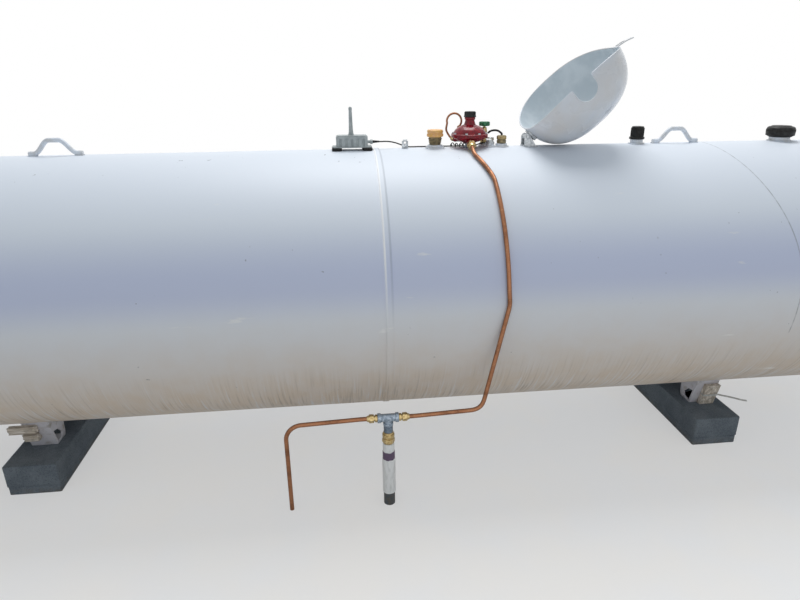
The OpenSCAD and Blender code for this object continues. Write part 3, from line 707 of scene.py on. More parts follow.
def plain_finish(name, colour, second, size, rough, spread=0.1, depth=0.05, grit=1.2, more=()):
    """A finish of two near colours in patches, uneven gloss and fine relief. Sizes are in millimetres."""
    tree, shader, where = begin(name)
    coated(tree, shader, colour, (second, patches(tree, where, size * MM)))
    uneven = (patches(tree, where, size * MM * 0.4), rough - spread, rough + spread)
    surfaced(tree, shader, uneven, patches(tree, where, grit * MM, 0.2, 0.8), depth * MM)
    for socket, value in more:
        shader.inputs[socket].default_value = value


def vessel_enamel(colours):
    """White gloss enamel sprayed on rolled steel: bright above, dulled by dust and drips below. Painted light in it:
    warm ground light in the dust, a lighter underside, a cool horizon reflection and light and shade on the weld.
    """
    tree, shader, where = begin("vessel_enamel")
    drip_width, drip_length = 9 * MM, 300 * MM
    known = dict(zip("xyz", add(tree, "ShaderNodeSeparateXYZ", {0: where}).outputs))
    for name, operation, *values in (
            # Angle above the shell's middle line. Round the ends the slope turns with the dome
            ("rise", "SUBTRACT", "z", axis_h), ("reach", "ABSOLUTE", "x"),
            ("past", "SUBTRACT", "reach", end_x), ("beyond", "MAXIMUM", "past", 0.0),
            ("square", "MULTIPLY", "beyond", "beyond"),
            ("squares", "MULTIPLY_ADD", "y", "y", "square"), ("side", "SQRT", "squares"),
            ("angle", "ARCTAN2", "rise", "side"),
            # Drips run down the curve: narrow along the tank and long round it
            ("forward", "MULTIPLY", "y", -1.0), ("bearing", "ARCTAN2", "beyond", "forward"),
            ("along", "MINIMUM", "reach", end_x), ("arc", "MULTIPLY_ADD", "bearing", shell_r, "along"),
            ("u", "MULTIPLY", "arc", 1 / drip_width), ("v", "MULTIPLY", "angle", shell_r / drip_length),
            ("half", "SIGN", "x"),
            ("front", "LESS_THAN", "y", 0.0), ("upper", "GREATER_THAN", "angle", math.radians(-14))):
        inputs = {i: known[value] if isinstance(value, str) else value for i, value in enumerate(values)}
        known[name] = add(tree, "ShaderNodeMath", inputs, operation=operation).outputs[0]
    run = add(tree, "ShaderNodeCombineXYZ", {0: known["u"], 1: known["v"], 2: known["half"]}).outputs[0]
    known["drips"] = add(tree, "ShaderNodeTexNoise", {
        "Vector": run, "Scale": 1.0, "Detail": 4.0, "Roughness": 0.62}).outputs[0]
    # Soft steps: what each goes by, where it starts and ends, and its values there. Angles are in degrees
    for name, source, start, end, least, most, softness in (
            ("film", "angle", 21, -40, 0.0, 0.8, "SMOOTHSTEP"),    # dust and painted warm ground light, above the middle line
            ("below", "angle", -14, -42, 0.0, 1.0, "SMOOTHSTEP"),    # where drips are seen
            ("painted_underside_light", "angle", -57, -62, 1.0, 0.35, "SMOOTHSTEP"),    # underside: less dust and drips, painted light from below
            ("cast", "angle", 42, 18, 0.0, 0.46, "SMOOTHSTEP"),    # painted cool horizon reflection above the middle line
            ("horizon_reflection_fade", "angle", 0, 15, 0.0, 1.0, "SMOOTHSTEP"),    # and the painted reflection's end towards the dust
            ("painted_weld_light", "angle", -4, 26, 0.0, 1.0, "LINEAR"),    # where the weld edges' painted light and shade show
            ("rub_x", "angle", 86, 3, 1.327, 1.475, "SMOOTHSTEP"),    # course of the rub line
            ("thin", "drips", 0.5, 0.7, 0.0, 1.0, "SMOOTHSTEP"),
            ("washed", "drips", 0.47, 0.33, 0.0, 1.0, "SMOOTHSTEP")):
        if source == "angle":
            start, end = math.radians(start), math.radians(end)
        known[name] = add(tree, "ShaderNodeMapRange", {
            "Value": known[source], "From Min": start, "From Max": end, "To Min": least, "To Max": most},
            interpolation_type=softness).outputs[0]
    uneven = add(tree, "ShaderNodeMapRange", {"Value": patches(tree, where, 90 * MM), "To Min": 0.86})
    # The underside is drawn lighter, with less dust and fewer drips: painted light from below
    film = known["film"]
    for share in (uneven.outputs[0], known["painted_underside_light"]):
        film = add(tree, "ShaderNodeMath", {0: film, 1: share}, operation="MULTIPLY").outputs[0]
    worn = add(tree, "ShaderNodeMapRange", {
        "Value": patches(tree, where, 25 * MM), "To Min": 0.25, "To Max": 0.6}).outputs[0]
    # The middle weld's edges, a painted highlight on the left one and painted shade on the right one, and
    # the thin line that a strap has rubbed round the right end of the front
    lines = []
    band_low, band_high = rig.box("seam_band")
    for at, wide, narrow, most, colour, shares in (
            (band_low.x + 2 * MM, 5, 2, 1.0, "#ffffff", ["painted_weld_light"]),
            (band_high.x - 2 * MM, 5, 2, 0.34, "#7d828c", ["painted_weld_light"]),
            (known["rub_x"], 3.4, 0.8, 1.0, "#77797c", ["front", "upper"])):
        off = add(tree, "ShaderNodeMath", {0: known["x"], 1: at}, operation="SUBTRACT").outputs[0]
        off = add(tree, "ShaderNodeMath", {0: off}, operation="ABSOLUTE").outputs[0]
        line = add(tree, "ShaderNodeMapRange", {
            "Value": off, "From Min": wide * MM, "From Max": narrow * MM, "To Max": most}).outputs[0]
        lines.append((colour, line, *[known[share] for share in shares]))
    dirty = patches(tree, where, 260 * MM, 0.24, 0.56)
    # Long pale scuffs from handling, and small chips and specks of tar, a few to a square metre
    scuff = patches(tree, where, 60 * MM, 0.68, 0.74, 5.0, (0.25, 1.0, 1.0))
    speck = patches(tree, where, 16 * MM, 0.74, 0.76, 1.0)
    rare = patches(tree, where, 130 * MM, 0.6, 0.66, 1.0)
    # The dust coat is partly real dust and partly painted warm light from the ground
    coated(tree, shader, colours.enamel, (colours.dust, film),
           (colours.drip, known["thin"], known["below"], dirty, known["painted_underside_light"], 0.36),
           # Between the drips, lighter runs where rain has washed the dust away
           (colours.enamel, known["washed"], known["below"], 0.5),
           # A painted cool reflection of the horizon, then the weld edges' painted highlight and shade, and the rub
           # line
           ("#aeb7e2", known["cast"], known["horizon_reflection_fade"]), *lines[:2], (*lines[2], worn),
           ("#f6f5f2", scuff, 0.5), ("#5f6266", speck, rare, 0.5))
    # Orange peel of the sprayed coat, drawn coarser than the real 2 mm so that it shows
    peel = add(tree, "ShaderNodeTexNoise", {"Vector": where, "Scale": 1 / (9 * MM), "Detail": 2.0})
    surfaced(tree, shader, (film, 0.5, 0.64), peel.outputs[0], 0.12 * MM, 0.35)


def stand_enamel(colours):
    """Feet enamel, greyed as painted shade under the tank: splashed with soil and chipped at its edges."""
    tree, shader, where = begin("stand_enamel")
    soil = patches(tree, where, 34 * MM, 0.48, 0.8, 5.0)
    # The grey base colour is painted shade under the tank; the soil patches are real
    coated(tree, shader, linear("#d2cfd3"), ("#9f968c", soil))
    surfaced(tree, shader, 0.5, soil, 0.15 * MM)


def cast_concrete(colours):
    """Precast concrete with a struck face: matt, pitted, with grit and damp at its foot."""
    tree, shader, where = begin("concrete")
    grit = add(tree, "ShaderNodeTexVoronoi", {"Vector": where, "Scale": 1 / (5 * MM)})
    # The pits are drawn darker: painted shade in them
    shaded_pits = add(tree, "ShaderNodeMapRange", {
        "Value": grit.outputs["Distance"], "From Min": 0.3, "From Max": 0.12}).outputs[0]
    height = add(tree, "ShaderNodeSeparateXYZ", {0: where}).outputs[2]
    foot = add(tree, "ShaderNodeMapRange", {
        "Value": height, "From Min": 30 * MM, "From Max": 0.0, "To Max": 0.55}).outputs[0]
    coated(tree, shader, colours.concrete, ("#727a80", patches(tree, where, 70 * MM)),
           ("#868c90", patches(tree, where, 7 * MM, 0.3, 0.7, 4.0), 0.4), ("#474d54", shaded_pits),
           ("#75695a", foot, patches(tree, where, 18 * MM)))
    shader.inputs["Specular IOR Level"].default_value = 0.15
    coarse = add(tree, "ShaderNodeMath", {0: patches(tree, where, 3 * MM, 0.2, 0.8, 6.0), 1: shaded_pits},
                 operation="SUBTRACT")
    surfaced(tree, shader, 0.92, coarse.outputs[0], 0.8 * MM, 0.7)


def timber(colours):
    """Rough-sawn softwood greyed outdoors: long grain lines, darker between, dry and matt."""
    for name, stretch in (("timber_lying", (0.07, 1, 1)), ("timber_upright", (1, 1, 0.07))):
        tree, shader, where = begin(name)
        grain = patches(tree, where, 6 * MM, 0.36, 0.66, 4.0, stretch)
        coated(tree, shader, linear("#b4a694"), ("#efe5d8", grain),
               ("#6f675a", patches(tree, where, 24 * MM, 0.5, 0.72, 4.0), 0.45))
        surfaced(tree, shader, 0.85, grain, 0.6 * MM)


def galvanised(colours):
    """Hot dip galvanised iron: a dull coat whose spangle, 6 mm across, catches light crystal by crystal."""
    tree, shader, where = begin("galvanised")
    spangle = add(tree, "ShaderNodeTexVoronoi", {"Vector": where, "Scale": 1 / (6 * MM)})
    bright = add(tree, "ShaderNodeSeparateXYZ", {0: spangle.outputs["Color"]}).outputs[0]
    coated(tree, shader, colours.galvanised, ("#7e8b99", bright))
    shader.inputs["Metallic"].default_value = 0.8
    surfaced(tree, shader, (bright, 0.36, 0.58), patches(tree, where, 2 * MM, 0.2, 0.8), 0.12 * MM)


def drawn_copper(colours):
    """Soft drawn copper: warm and satin, browned in patches where it was handled."""
    tree, shader, where = begin("copper")
    brown = patches(tree, where, 45 * MM, 0.4, 0.75, 4.0)
    coated(tree, shader, colours.copper, ("#724d3a", brown),
           ("#ae8a64", patches(tree, where, 6 * MM, 0.55, 0.8)))
    shader.inputs["Metallic"].default_value = 1.0
    surfaced(tree, shader, (brown, 0.36, 0.52), patches(tree, where, 9 * MM, 0.2, 0.8), 0.06 * MM)


def lens(colours):
    """Clear moulded lens, slightly hazed."""
    tree, shader, where = begin("clear_lens")
    shader.inputs["Base Color"].default_value = linear("#f2f6f5")
    shader.inputs["Transmission Weight"].default_value = 0.9
    shader.inputs["IOR"].default_value = 1.58
    surfaced(tree, shader, (patches(tree, where, 6 * MM), 0.04, 0.2))


def sleeve(colours):
    """White plastic sleeve, dirty in streaks, with the purple primer band near its top."""
    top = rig.box("riser_sleeve")[1].z
    tree, shader, where = begin("sleeve")
    height = add(tree, "ShaderNodeSeparateXYZ", {0: where}).outputs[2]
    wave = add(tree, "ShaderNodeMath", {0: patches(tree, where, 14 * MM), 1: 1.8 * MM}, operation="MULTIPLY")
    level = add(tree, "ShaderNodeMath", {0: height, 1: wave.outputs[0]}, operation="SUBTRACT").outputs[0]
    low, high = (add(tree, "ShaderNodeMath", {0: level, 1: top - edge * MM}, operation=side).outputs[0]
                 for edge, side in ((66, "GREATER_THAN"), (35, "LESS_THAN")))
    dirt = patches(tree, where, 9 * MM, 0.45, 0.75, 5.0, (1.0, 1.0, 0.25))
    coated(tree, shader, colours.sleeve, ("#dbdbd8", dirt), (colours.primer, low, high))
    surfaced(tree, shader, 0.42, dirt, 0.06 * MM)


def plain_finishes(colours):
    """Finishes that need no more than two near colours, uneven gloss and fine relief."""
    dull_shine = ("Specular IOR Level", 0.25)
    # The vessel's enamel on welded fittings, with dust in its hollows
    plain_finish("fitting_enamel", colours.enamel, "#d9dadb", 30, 0.3, depth=0.08, grit=2.5)
    # The pressed lid: glossy outside, duller inside, where its bluish colour is painted sky light
    plain_finish("lid_enamel", colours.enamel, "#e0dcd8", 300, 0.26, 0.06, 0.08, 8)
    plain_finish("lid_inside_sky_tinted_enamel", colours.lid_inside_sky_tint, "#cfd8dd", 70, 0.45, depth=0.1, grit=6)
    # Woven plastic strapping, greyed by weather
    plain_finish("strapping", linear("#cfcec9"), "#b1aea6", 20, 0.4)
    # Red powder coat baked on a die casting: glossy and slightly pebbled
    plain_finish("red_coat", colours.red, "#70081a", 14, 0.24, 0.06, 0.1, 1.6, (
        ("Coat Weight", 0.15), ("Coat Roughness", 0.12), ("Specular IOR Level", 0.3)))
    # Black nylon and rubber mouldings: satin, greyed by dust on top
    plain_finish("black_nylon", colours.black, "#2a2b2a", 12, 0.46, depth=0.06, more=[dull_shine])
    plain_finish("black_rubber", linear("#161616"), "#2b2a29", 9, 0.66, depth=0.06, more=[dull_shine])
    # Yellow moulded cap, bleached in patches by the sun
    plain_finish("yellow_cap", colours.yellow, "#ecb67c", 11, 0.42)
    # Brass that was cast and has dulled, and brass that was machined and still shines a little
    plain_finish("dull_brass", colours.olive, "#9c8d6a", 8, 0.55, depth=0.1, more=[("Metallic", 0.6)])
    plain_finish("brass", colours.brass, "#a08b60", 7, 0.34, depth=0.03, more=[("Metallic", 1.0)])
    # Zinc plate: a soft grey shine
    plain_finish("zinc", colours.zinc, "#9da2a6", 9, 0.42, more=[("Metallic", 0.75)])
    # Green enamel on the cast wheel, worn darker in patches
    plain_finish("green_enamel", colours.green, "#0c5f3a", 8, 0.34)
    # Sun-greyed moulded case, a fine spark texture over it
    plain_finish("grey_case", colours.grey, "#a2a9a9", 22, 0.5, depth=0.12, grit=1.0)
    # Grey plastic pipe, dusted by the soil round it
    plain_finish("grey_pipe", colours.pipe, "#514e4a", 14, 0.6, depth=0.08)


class FinishOperator(bpy.types.Operator):
    """Makes the materials and the geometry trees"""

    bl_idname = "tank.finishes"
    bl_label = "Finishes"

    def execute(self, context):
        for make in (vessel_enamel, stand_enamel, cast_concrete, timber, galvanised, drawn_copper, lens,
                     sleeve, plain_finishes):
            make(context.scene.tank_colours)
        trees["ring"] = ring_tree()
        trees["bead"] = bead_tree()
        return {"FINISHED"}


# Camera

camera_at = (-0.179, -2.372, 1.4912)
camera_yaw, camera_pitch, camera_roll = (math.radians(a) for a in (5.96, 20.39, -0.56))
camera_focus, image_width = 592.8, 800    # in the photograph's pixels
sensor_width = 36.0    # in millimetres


class CameraOperator(bpy.types.Operator):
    """Places the camera at the photograph's angle"""

    bl_idname = "tank.camera"
    bl_label = "Camera"

    def execute(self, context):
        flat = math.cos(camera_pitch)
        ahead = Vector((math.sin(camera_yaw) * flat, math.cos(camera_yaw) * flat, -math.sin(camera_pitch)))
        right = Vector((math.cos(camera_yaw), -math.sin(camera_yaw), 0))
        up = right.cross(ahead)
        c, s = math.cos(camera_roll), math.sin(camera_roll)
        right, up = c * right + s * up, c * up - s * right
        camera = bpy.data.objects.new("camera", bpy.data.cameras.new("camera"))
        camera.data.sensor_width = sensor_width
        camera.data.lens = sensor_width * camera_focus / image_width
        camera.matrix_world = Matrix((
            (right.x, up.x, -ahead.x, camera_at[0]),
            (right.y, up.y, -ahead.y, camera_at[1]),
            (right.z, up.z, -ahead.z, camera_at[2]),
            (0, 0, 0, 1)))
        context.scene.collection.objects.link(camera)
        context.scene.camera = camera
        return {"FINISHED"}


# The lead's route in millimetres: along the tank, behind the crown line, above the shell there
lead_route = (
    (-6.5, 0, 28), (4, 0, 28), (16, 3, 28), (29, 10, 26.8), (42, 18.5, 24.6), (55, 27, 21.5), (68, 34, 17.5),
    (80, 38.5, 13), (92, 41.5, 8.6), (103, 43, 5.2), (115, 44, 3.2), (133, 45, 2.9), (152, 46, 2.9),
    (172, 47, 2.9), (193, 47, 2.9), (213, 47, 2.9), (234, 46, 2.9), (255, 43, 2.9), (276, 38, 2.9),
    (297, 33, 2.9), (318, 28, 2.9), (339, 25, 2.9), (360, 24, 3), (378, 21, 5), (392, 16, 10),
    (404.5, 11.3, 13.7), (416.2, 6.7, 14))


class LeadOperator(bpy.types.Operator):
    """Lays the transmitter's lead along the crown"""

    bl_idname = "tank.lead"
    bl_label = "Lead"

    def execute(self, context):
        size = context.scene.tank_sizes.lead
        points = [(x * MM, y * MM, crown_at(y * MM) + z * MM) for x, y, z in lead_route]
        path = smooth_path(points, 5)
        reach = sum((b - a).length for a, b in zip(path, path[1:]))
        lead = piece("lead", swept(path, size / 2, 14), "black_rubber", "sender_cable", slot="cable_jacket")
        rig.cord(lead, exit=points[0], length=reach, diameter=size, far_end="object", stiffness="medium",
                lay="loose", path=path, with_pieces=[self.ties(path, size / 2)])
        return {"FINISHED"}

    def ties(self, path, r):
        """Cable ties round the lead in front of the regulator, each with its head and a curled end."""
        shapes = []
        off, tie_r, tail_r = 1.2 * MM, 1.4 * MM, 1.9 * MM
        tail = [(0, 5), (1, 8), (5, 11), (11, 11), (16, 7), (18, 3)]    # aside and up, in millimetres
        for place, lean in ((0.284, -1), (0.301, 1), (0.318, -1), (0.332, 1)):
            at = min(path, key=lambda p: abs(p.x - place))
            way = (path[path.index(at) + 1] - at).normalized()
            side = way.cross(Vector((0, 0, 1))).normalized()
            up = side.cross(way)
            ring = [at + (side * math.cos(a) + up * math.sin(a)) * (r + off) for a in turns(24)]
            curl = [at + (up * b + side * a * lean + way * a * 0.6) * MM for a, b in tail]
            shapes += [swept(ring, tie_r, 8, closed=True),
                       placed(hexagon(7.0, 0, 5.0, 0.6), along(at + up * r, up)),
                       swept(smooth_path(curl, 4), tail_r, 8)]
        return piece("lead_ties", joined(*shapes), "black_nylon")


# Vessel

def lying(x):
    """Matrix that lays a turned piece along the tank's axis from x."""
    return Matrix.Translation((x, 0, axis_h)) @ Matrix.Rotation(math.pi / 2, 4, "Y")


def skin_radius(x, turn):
    """The rolled shell's radius: drawn in a little beside its middle weld and never quite true."""
    drawn_in, drawn_width = 1.1 * MM, 70 * MM
    swing, deepest, true_end = 0.22 * MM, 0.44 * MM, 120 * MM    # the waves end before the round ends
    pull = drawn_in * math.exp(-(((x - seam_x) / drawn_width) ** 2))
    wave = swing * (math.sin(9.1 * x + 1.3) * math.sin(3 * turn + 2.2 * x)
                    + math.sin(5 * turn - 4.7 * x + 0.6))
    fade = min(1.0, abs(end_x - abs(x)) / true_end)
    return shell_r - pull - (deepest - wave) * fade


def rolled_course(start, end):
    """One rolled course: a slightly uneven outer skin and a plain inner one."""
    segments, step, wall = 240, 38 * MM, 7 * MM
    count = max(2, round((end - start) / step))
    points, faces, rings = [], [], []
    stations = [start + (end - start) * i / count for i in range(count + 1)]
    for x, inner in [(x, False) for x in stations] + [(end, True), (start, True)]:
        rings.append(len(points))
        for turn in turns(segments):
            radius = shell_r - wall if inner else skin_radius(x, turn)
            points.append((x, -radius * math.sin(turn), axis_h + radius * math.cos(turn)))
    for a, b in zip(rings, rings[1:] + rings[:1]):
        faces += [(a + k, a + (k + 1) % segments, b + (k + 1) % segments, b + k) for k in range(segments)]
    return points, faces


def quarter(radius, steps):
    """A quarter of a circle from its equator up to its pole, as (radius, height)."""
    angles = [math.radians(90 * i / steps) for i in range(steps)]
    return [(radius * math.cos(a), radius * math.sin(a)) for a in angles] + [(0, radius)]


class VesselOperator(bpy.types.Operator):
    """Models the shell courses, round ends and the welds between them"""

    bl_idname = "tank.vessel"
    bl_label = "Vessel"

    def execute(self, context):
        for side, start, end in (("left", -end_x, seam_x), ("right", seam_x, end_x)):
            piece(f"shell_{side}_skin", rolled_course(start, end), "vessel_enamel", "shell_" + side,
                  sharp=60)
        wall, segments = 5 * MM, 240
        profile = quarter(shell_r - wall, 24)[::-1] + quarter(shell_r, 60)
        for side, turn, x in (("left", math.pi, -end_x), ("right", 0, end_x)):
            place = lying(x) @ Matrix.Rotation(turn, 4, "X")
            piece(f"head_{side}_skin", turned(profile, segments, place, unit=1), "vessel_enamel",
                  "head_" + side, sharp=60)
        low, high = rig.box("seam_band")
        half, top, foot = (high.x - low.x) / 2, (high.z - low.z) / 2, shell_r - 2.5 * MM
        profile = [(foot, -half), (top - 0.9 * MM, -half), (top - 0.2 * MM, -half + 1.6 * MM),
                   (top, -half + 4 * MM), (top - 0.25 * MM, 0), (top, half - 4 * MM),
                   (top - 0.2 * MM, half - 1.6 * MM), (top - 0.9 * MM, half), (foot, half)]
        band = turned(profile, segments, lying((low.x + high.x) / 2), True, 1)
        piece("seam_band_skin", band, "vessel_enamel", "seam_band", sharp=20)
        foot = shell_r - 2 * MM
        bulge = [(shell_r + 2.2 * MM * math.cos(math.radians(a)), 8 * MM * math.sin(math.radians(a)))
                 for a in range(-90, 91, 20)]
        profile = [(foot, -9 * MM), *bulge, (foot, 9 * MM)]
        rounds = [turned(profile, segments, lying(x), True, 1) for x in (-end_x, end_x)]
        piece("end_welds_skin", joined(*rounds), "vessel_enamel", "end_welds", sharp=60)
        return {"FINISHED"}


class StandOperator(bpy.types.Operator):
    """Dresses the feet, their welds, the concrete sleepers and the boards left there"""

    bl_idname = "tank.stand"
    bl_label = "Stand"

    def execute(self, context):
        seams = []
        for side in ("left", "right"):
            for row in ("front", "rear"):
                node = f"foot_{side}_{row}"
                dressed(node, "stand_enamel", 1.0)
                low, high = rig.box(node)
                y = low.y + 1.5 * MM if row == "front" else high.y - 1.5 * MM
                z = axis_h - math.sqrt(shell_r ** 2 - y ** 2)
                seams.append([Vector((low.x + (high.x - low.x) * i / 20, y, z)) for i in range(21)])
            for layer in ("block", "footing"):
                rough_block(f"{layer}_{side}")
        weld("foot_welds", seams, 5, "stand_enamel", closed=False)
        packing_boards()
        board_strap()
        return {"FINISHED"}


def noise_at(point, size):
    """Smooth noise from -1 to 1 whose waves are about size metres long."""
    return noise.noise(point / size)


def packing_boards():
    """Weathered boards left at the front feet, their broken ends splintered."""
    item = dressed("packing_wood", "timber_lying", 0)
    item.data.materials.append(finishes["timber_upright"])
    low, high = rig.box("packing_wood")
    level = (low.z + high.z) / 2 + 24 * MM    # between the two boards that lie on each other
    longest, end_part, splinter = 9 * MM, 1 * MM, 16 * MM
    build = bmesh.new()
    build.from_mesh(item.data)
    for _ in range(4):
        bmesh.ops.triangulate(build, faces=build.faces)
        bmesh.ops.subdivide_edges(build, edges=[e for e in build.edges if e.calc_length() > longest], cuts=1)
    bmesh.ops.triangulate(build, faces=build.faces)
    # The upright board stands at the right foot, and the others lie at the left one
    for upright, above in ((True, False), (False, True), (False, False)):
        board = [v for v in build.verts
                 if (v.co.x > 0) == upright and (upright or (v.co.z > level) == above)]
        low, high = min(v.co.x for v in board), max(v.co.x for v in board)
        for corner in board:
            if upright:
                corner.co.x += noise_at(corner.co, 4 * MM) * 0.25 * MM
            elif min(corner.co.x - low, high - corner.co.x) < end_part:
                inwards = 1 if corner.co.x - low < end_part else -1
                corner.co.x += inwards * abs(noise_at(corner.co * Vector((0, 1, 1)), 6 * MM)) * splinter
    for face in build.faces:
        face.material_index = 1 if face.calc_center_median().x > 0 else 0
    build.normal_update()
    build.to_mesh(item.data)
    build.free()
    item.data.shade_smooth()
    item.data.set_sharp_from_angle(angle=math.radians(32))


def ribbon(path, across, width, thick):
    """Points and faces of a flat strap along a path, its width along one direction."""
    path, across = [Vector(p) for p in path], Vector(across).normalized()
    points, faces, last = [], [], len(path) - 1
    for i, here in enumerate(path):
        way = (path[min(i + 1, last)] - path[max(i - 1, 0)]).normalized()
        out = way.cross(across).normalized()
        points += [here + across * a * width / 2 + out * b * thick / 2
                   for a, b in ((-1, -1), (1, -1), (1, 1), (-1, 1))]
    for i in range(last):
        faces += [(4 * i + k, 4 * i + (k + 1) % 4, 4 * i + (k + 1) % 4 + 4, 4 * i + k + 4) for k in range(4)]
    return points, faces + [(3, 2, 1, 0), tuple(range(4 * last, 4 * last + 4))]


def board_strap():
    """A flat strap round the upright board, with its stiff end standing out to the right."""
    low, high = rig.box("packing_wood")
    board, wide, thick, off, lean = 63 * MM, 8 * MM, 0.8 * MM, 0.6 * MM, 0.29
    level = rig.box("foot_right_front")[0].z + 55 * MM
    front, behind = low.y + (high.z - level) * lean * 0.9 - off, 20 * MM
    left, right = high.x - board - off, high.x + off
    band = ribbon(rounded_path([(left, front + behind, level), (left, front, level), (right, front, level),
                                (right, front + behind, level)], 2 * MM, 4), (0, 0, 1), wide, thick)
    end = [(0, 4, 0), (12, -1, -2), (40, -5, -8), (80, -8, -19), (112, -9, -29), (138, -8, -35)]
    tail = ribbon(smooth_path([(right + x * MM, front + y * MM, level + z * MM) for x, y, z in end], 5),
                  (0, 0.8, 0.6), wide, thick)
    piece("packing_strap", joined(band, tail), "strapping")


def rough_block(node):
    """A concrete block with worn edges and an uneven struck face."""
    low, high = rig.box(node)
    item = new_object(node + "_cast", [], [])
    side_ease, level_ease, flat = 6 * MM, 3 * MM, 1e-6
    least_turn = 1.0    # radians between the two faces of an edge that is worn
    build = bmesh.new()
    bmesh.ops.create_cube(build, size=1.0)
    for corner in build.verts:
        corner.co = Vector((low[i] if corner.co[i] < 0 else high[i] for i in range(3)))
    upright = [e for e in build.edges if abs(e.verts[0].co.z - e.verts[1].co.z) > 1 * MM]
    bmesh.ops.bevel(build, geom=upright, offset=side_ease, segments=2, affect="EDGES", profile=0.5)
    level = [e for e in build.edges if abs(e.verts[0].co.z - e.verts[1].co.z) < flat
             and not e.is_boundary and abs(e.calc_face_angle(0)) > least_turn]
    bmesh.ops.bevel(build, geom=level, offset=level_ease, segments=2, affect="EDGES", profile=0.5)
    for longest, cuts in ((60 * MM, 5), (14 * MM, 2)):
        bmesh.ops.triangulate(build, faces=build.faces)
        long_edges = [e for e in build.edges if e.calc_length() > longest]
        bmesh.ops.subdivide_edges(build, edges=long_edges, cuts=cuts, use_grid_fill=True)
    bmesh.ops.triangulate(build, faces=build.faces)
    middle, size, rim = (low + high) / 2, high - low, 4 * MM
    for corner in build.verts:
        wear = noise_at(corner.co, 22 * MM) * 0.9 * MM + noise_at(corner.co, 5 * MM) * 0.35 * MM
        inwards = Vector((-math.copysign(1, c) if abs(c) > size[i] / 2 - rim else 0
                          for i, c in enumerate(corner.co - middle)))
        if corner.co.z < low.z + 1 * MM:    # its foot stays flat
            inwards.z = 0
        corner.co += inwards * max(0.0, wear)
    build.normal_update()
    build.to_mesh(item.data)
    build.free()
    item.data.materials.append(finishes["concrete"])
    finished(item, "concrete", node, sharp=50)


class LugOperator(bpy.types.Operator):
    """Bends the two lifting lugs and welds their feet"""

    bl_idname = "tank.lugs"
    bl_label = "Lifting lugs"

    def execute(self, context):
        seams = []
        for side in ("left", "right"):
            low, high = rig.box("lug_" + side)
            middle, half, bar = (low.x + high.x) / 2, (high.x - low.x) / 2, high.y - low.y
            rise = high.z - low.z - bar
            path, radii = [], []
            # Shares of the half length: where a foot starts, how long the bend is, and the worn tip
            foot, bend, tip, tip_len, thinner = 0.8, 0.62, 0.93, 0.07, 0.12
            for s in (i / 30 - 1 for i in range(61)):
                lift = min(1.0, max(0.0, (foot - abs(s)) / bend))    # from 0 on its foot to 1 on its flat top
                height = low.z + bar / 2 + rise * (1 - math.cos(math.pi * lift)) / 2
                path.append((middle + s * half, 0, height))
                radii.append(bar / 2 * (1 - thinner * max(0.0, abs(s) - tip) / tip_len))
            piece(f"lug_{side}_bar", swept(path, radii, 24), "fitting_enamel", "lug_" + side, sharp=50)
            for end in (-1, 1):
                for flank in (-1, 1):
                    y = flank * bar * 0.42
                    along_foot = [middle + end * half * (0.72 + 0.28 * i / 12) for i in range(13)]
                    seams.append([Vector((x, y, crown_at(y) + 1.2 * MM)) for x in along_foot])
        weld("lug_welds", seams, 9, closed=False)
        return {"FINISHED"}


# Fittings on the crown

def standing(node):
    """A part's middle along the tank in metres, and its foot, top and radius in millimetres on the crown."""
    low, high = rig.box(node)
    return (low.x + high.x) / 2, (low.z - crown_h) / MM, (high.z - crown_h) / MM, (high.x - low.x) / 2 / MM


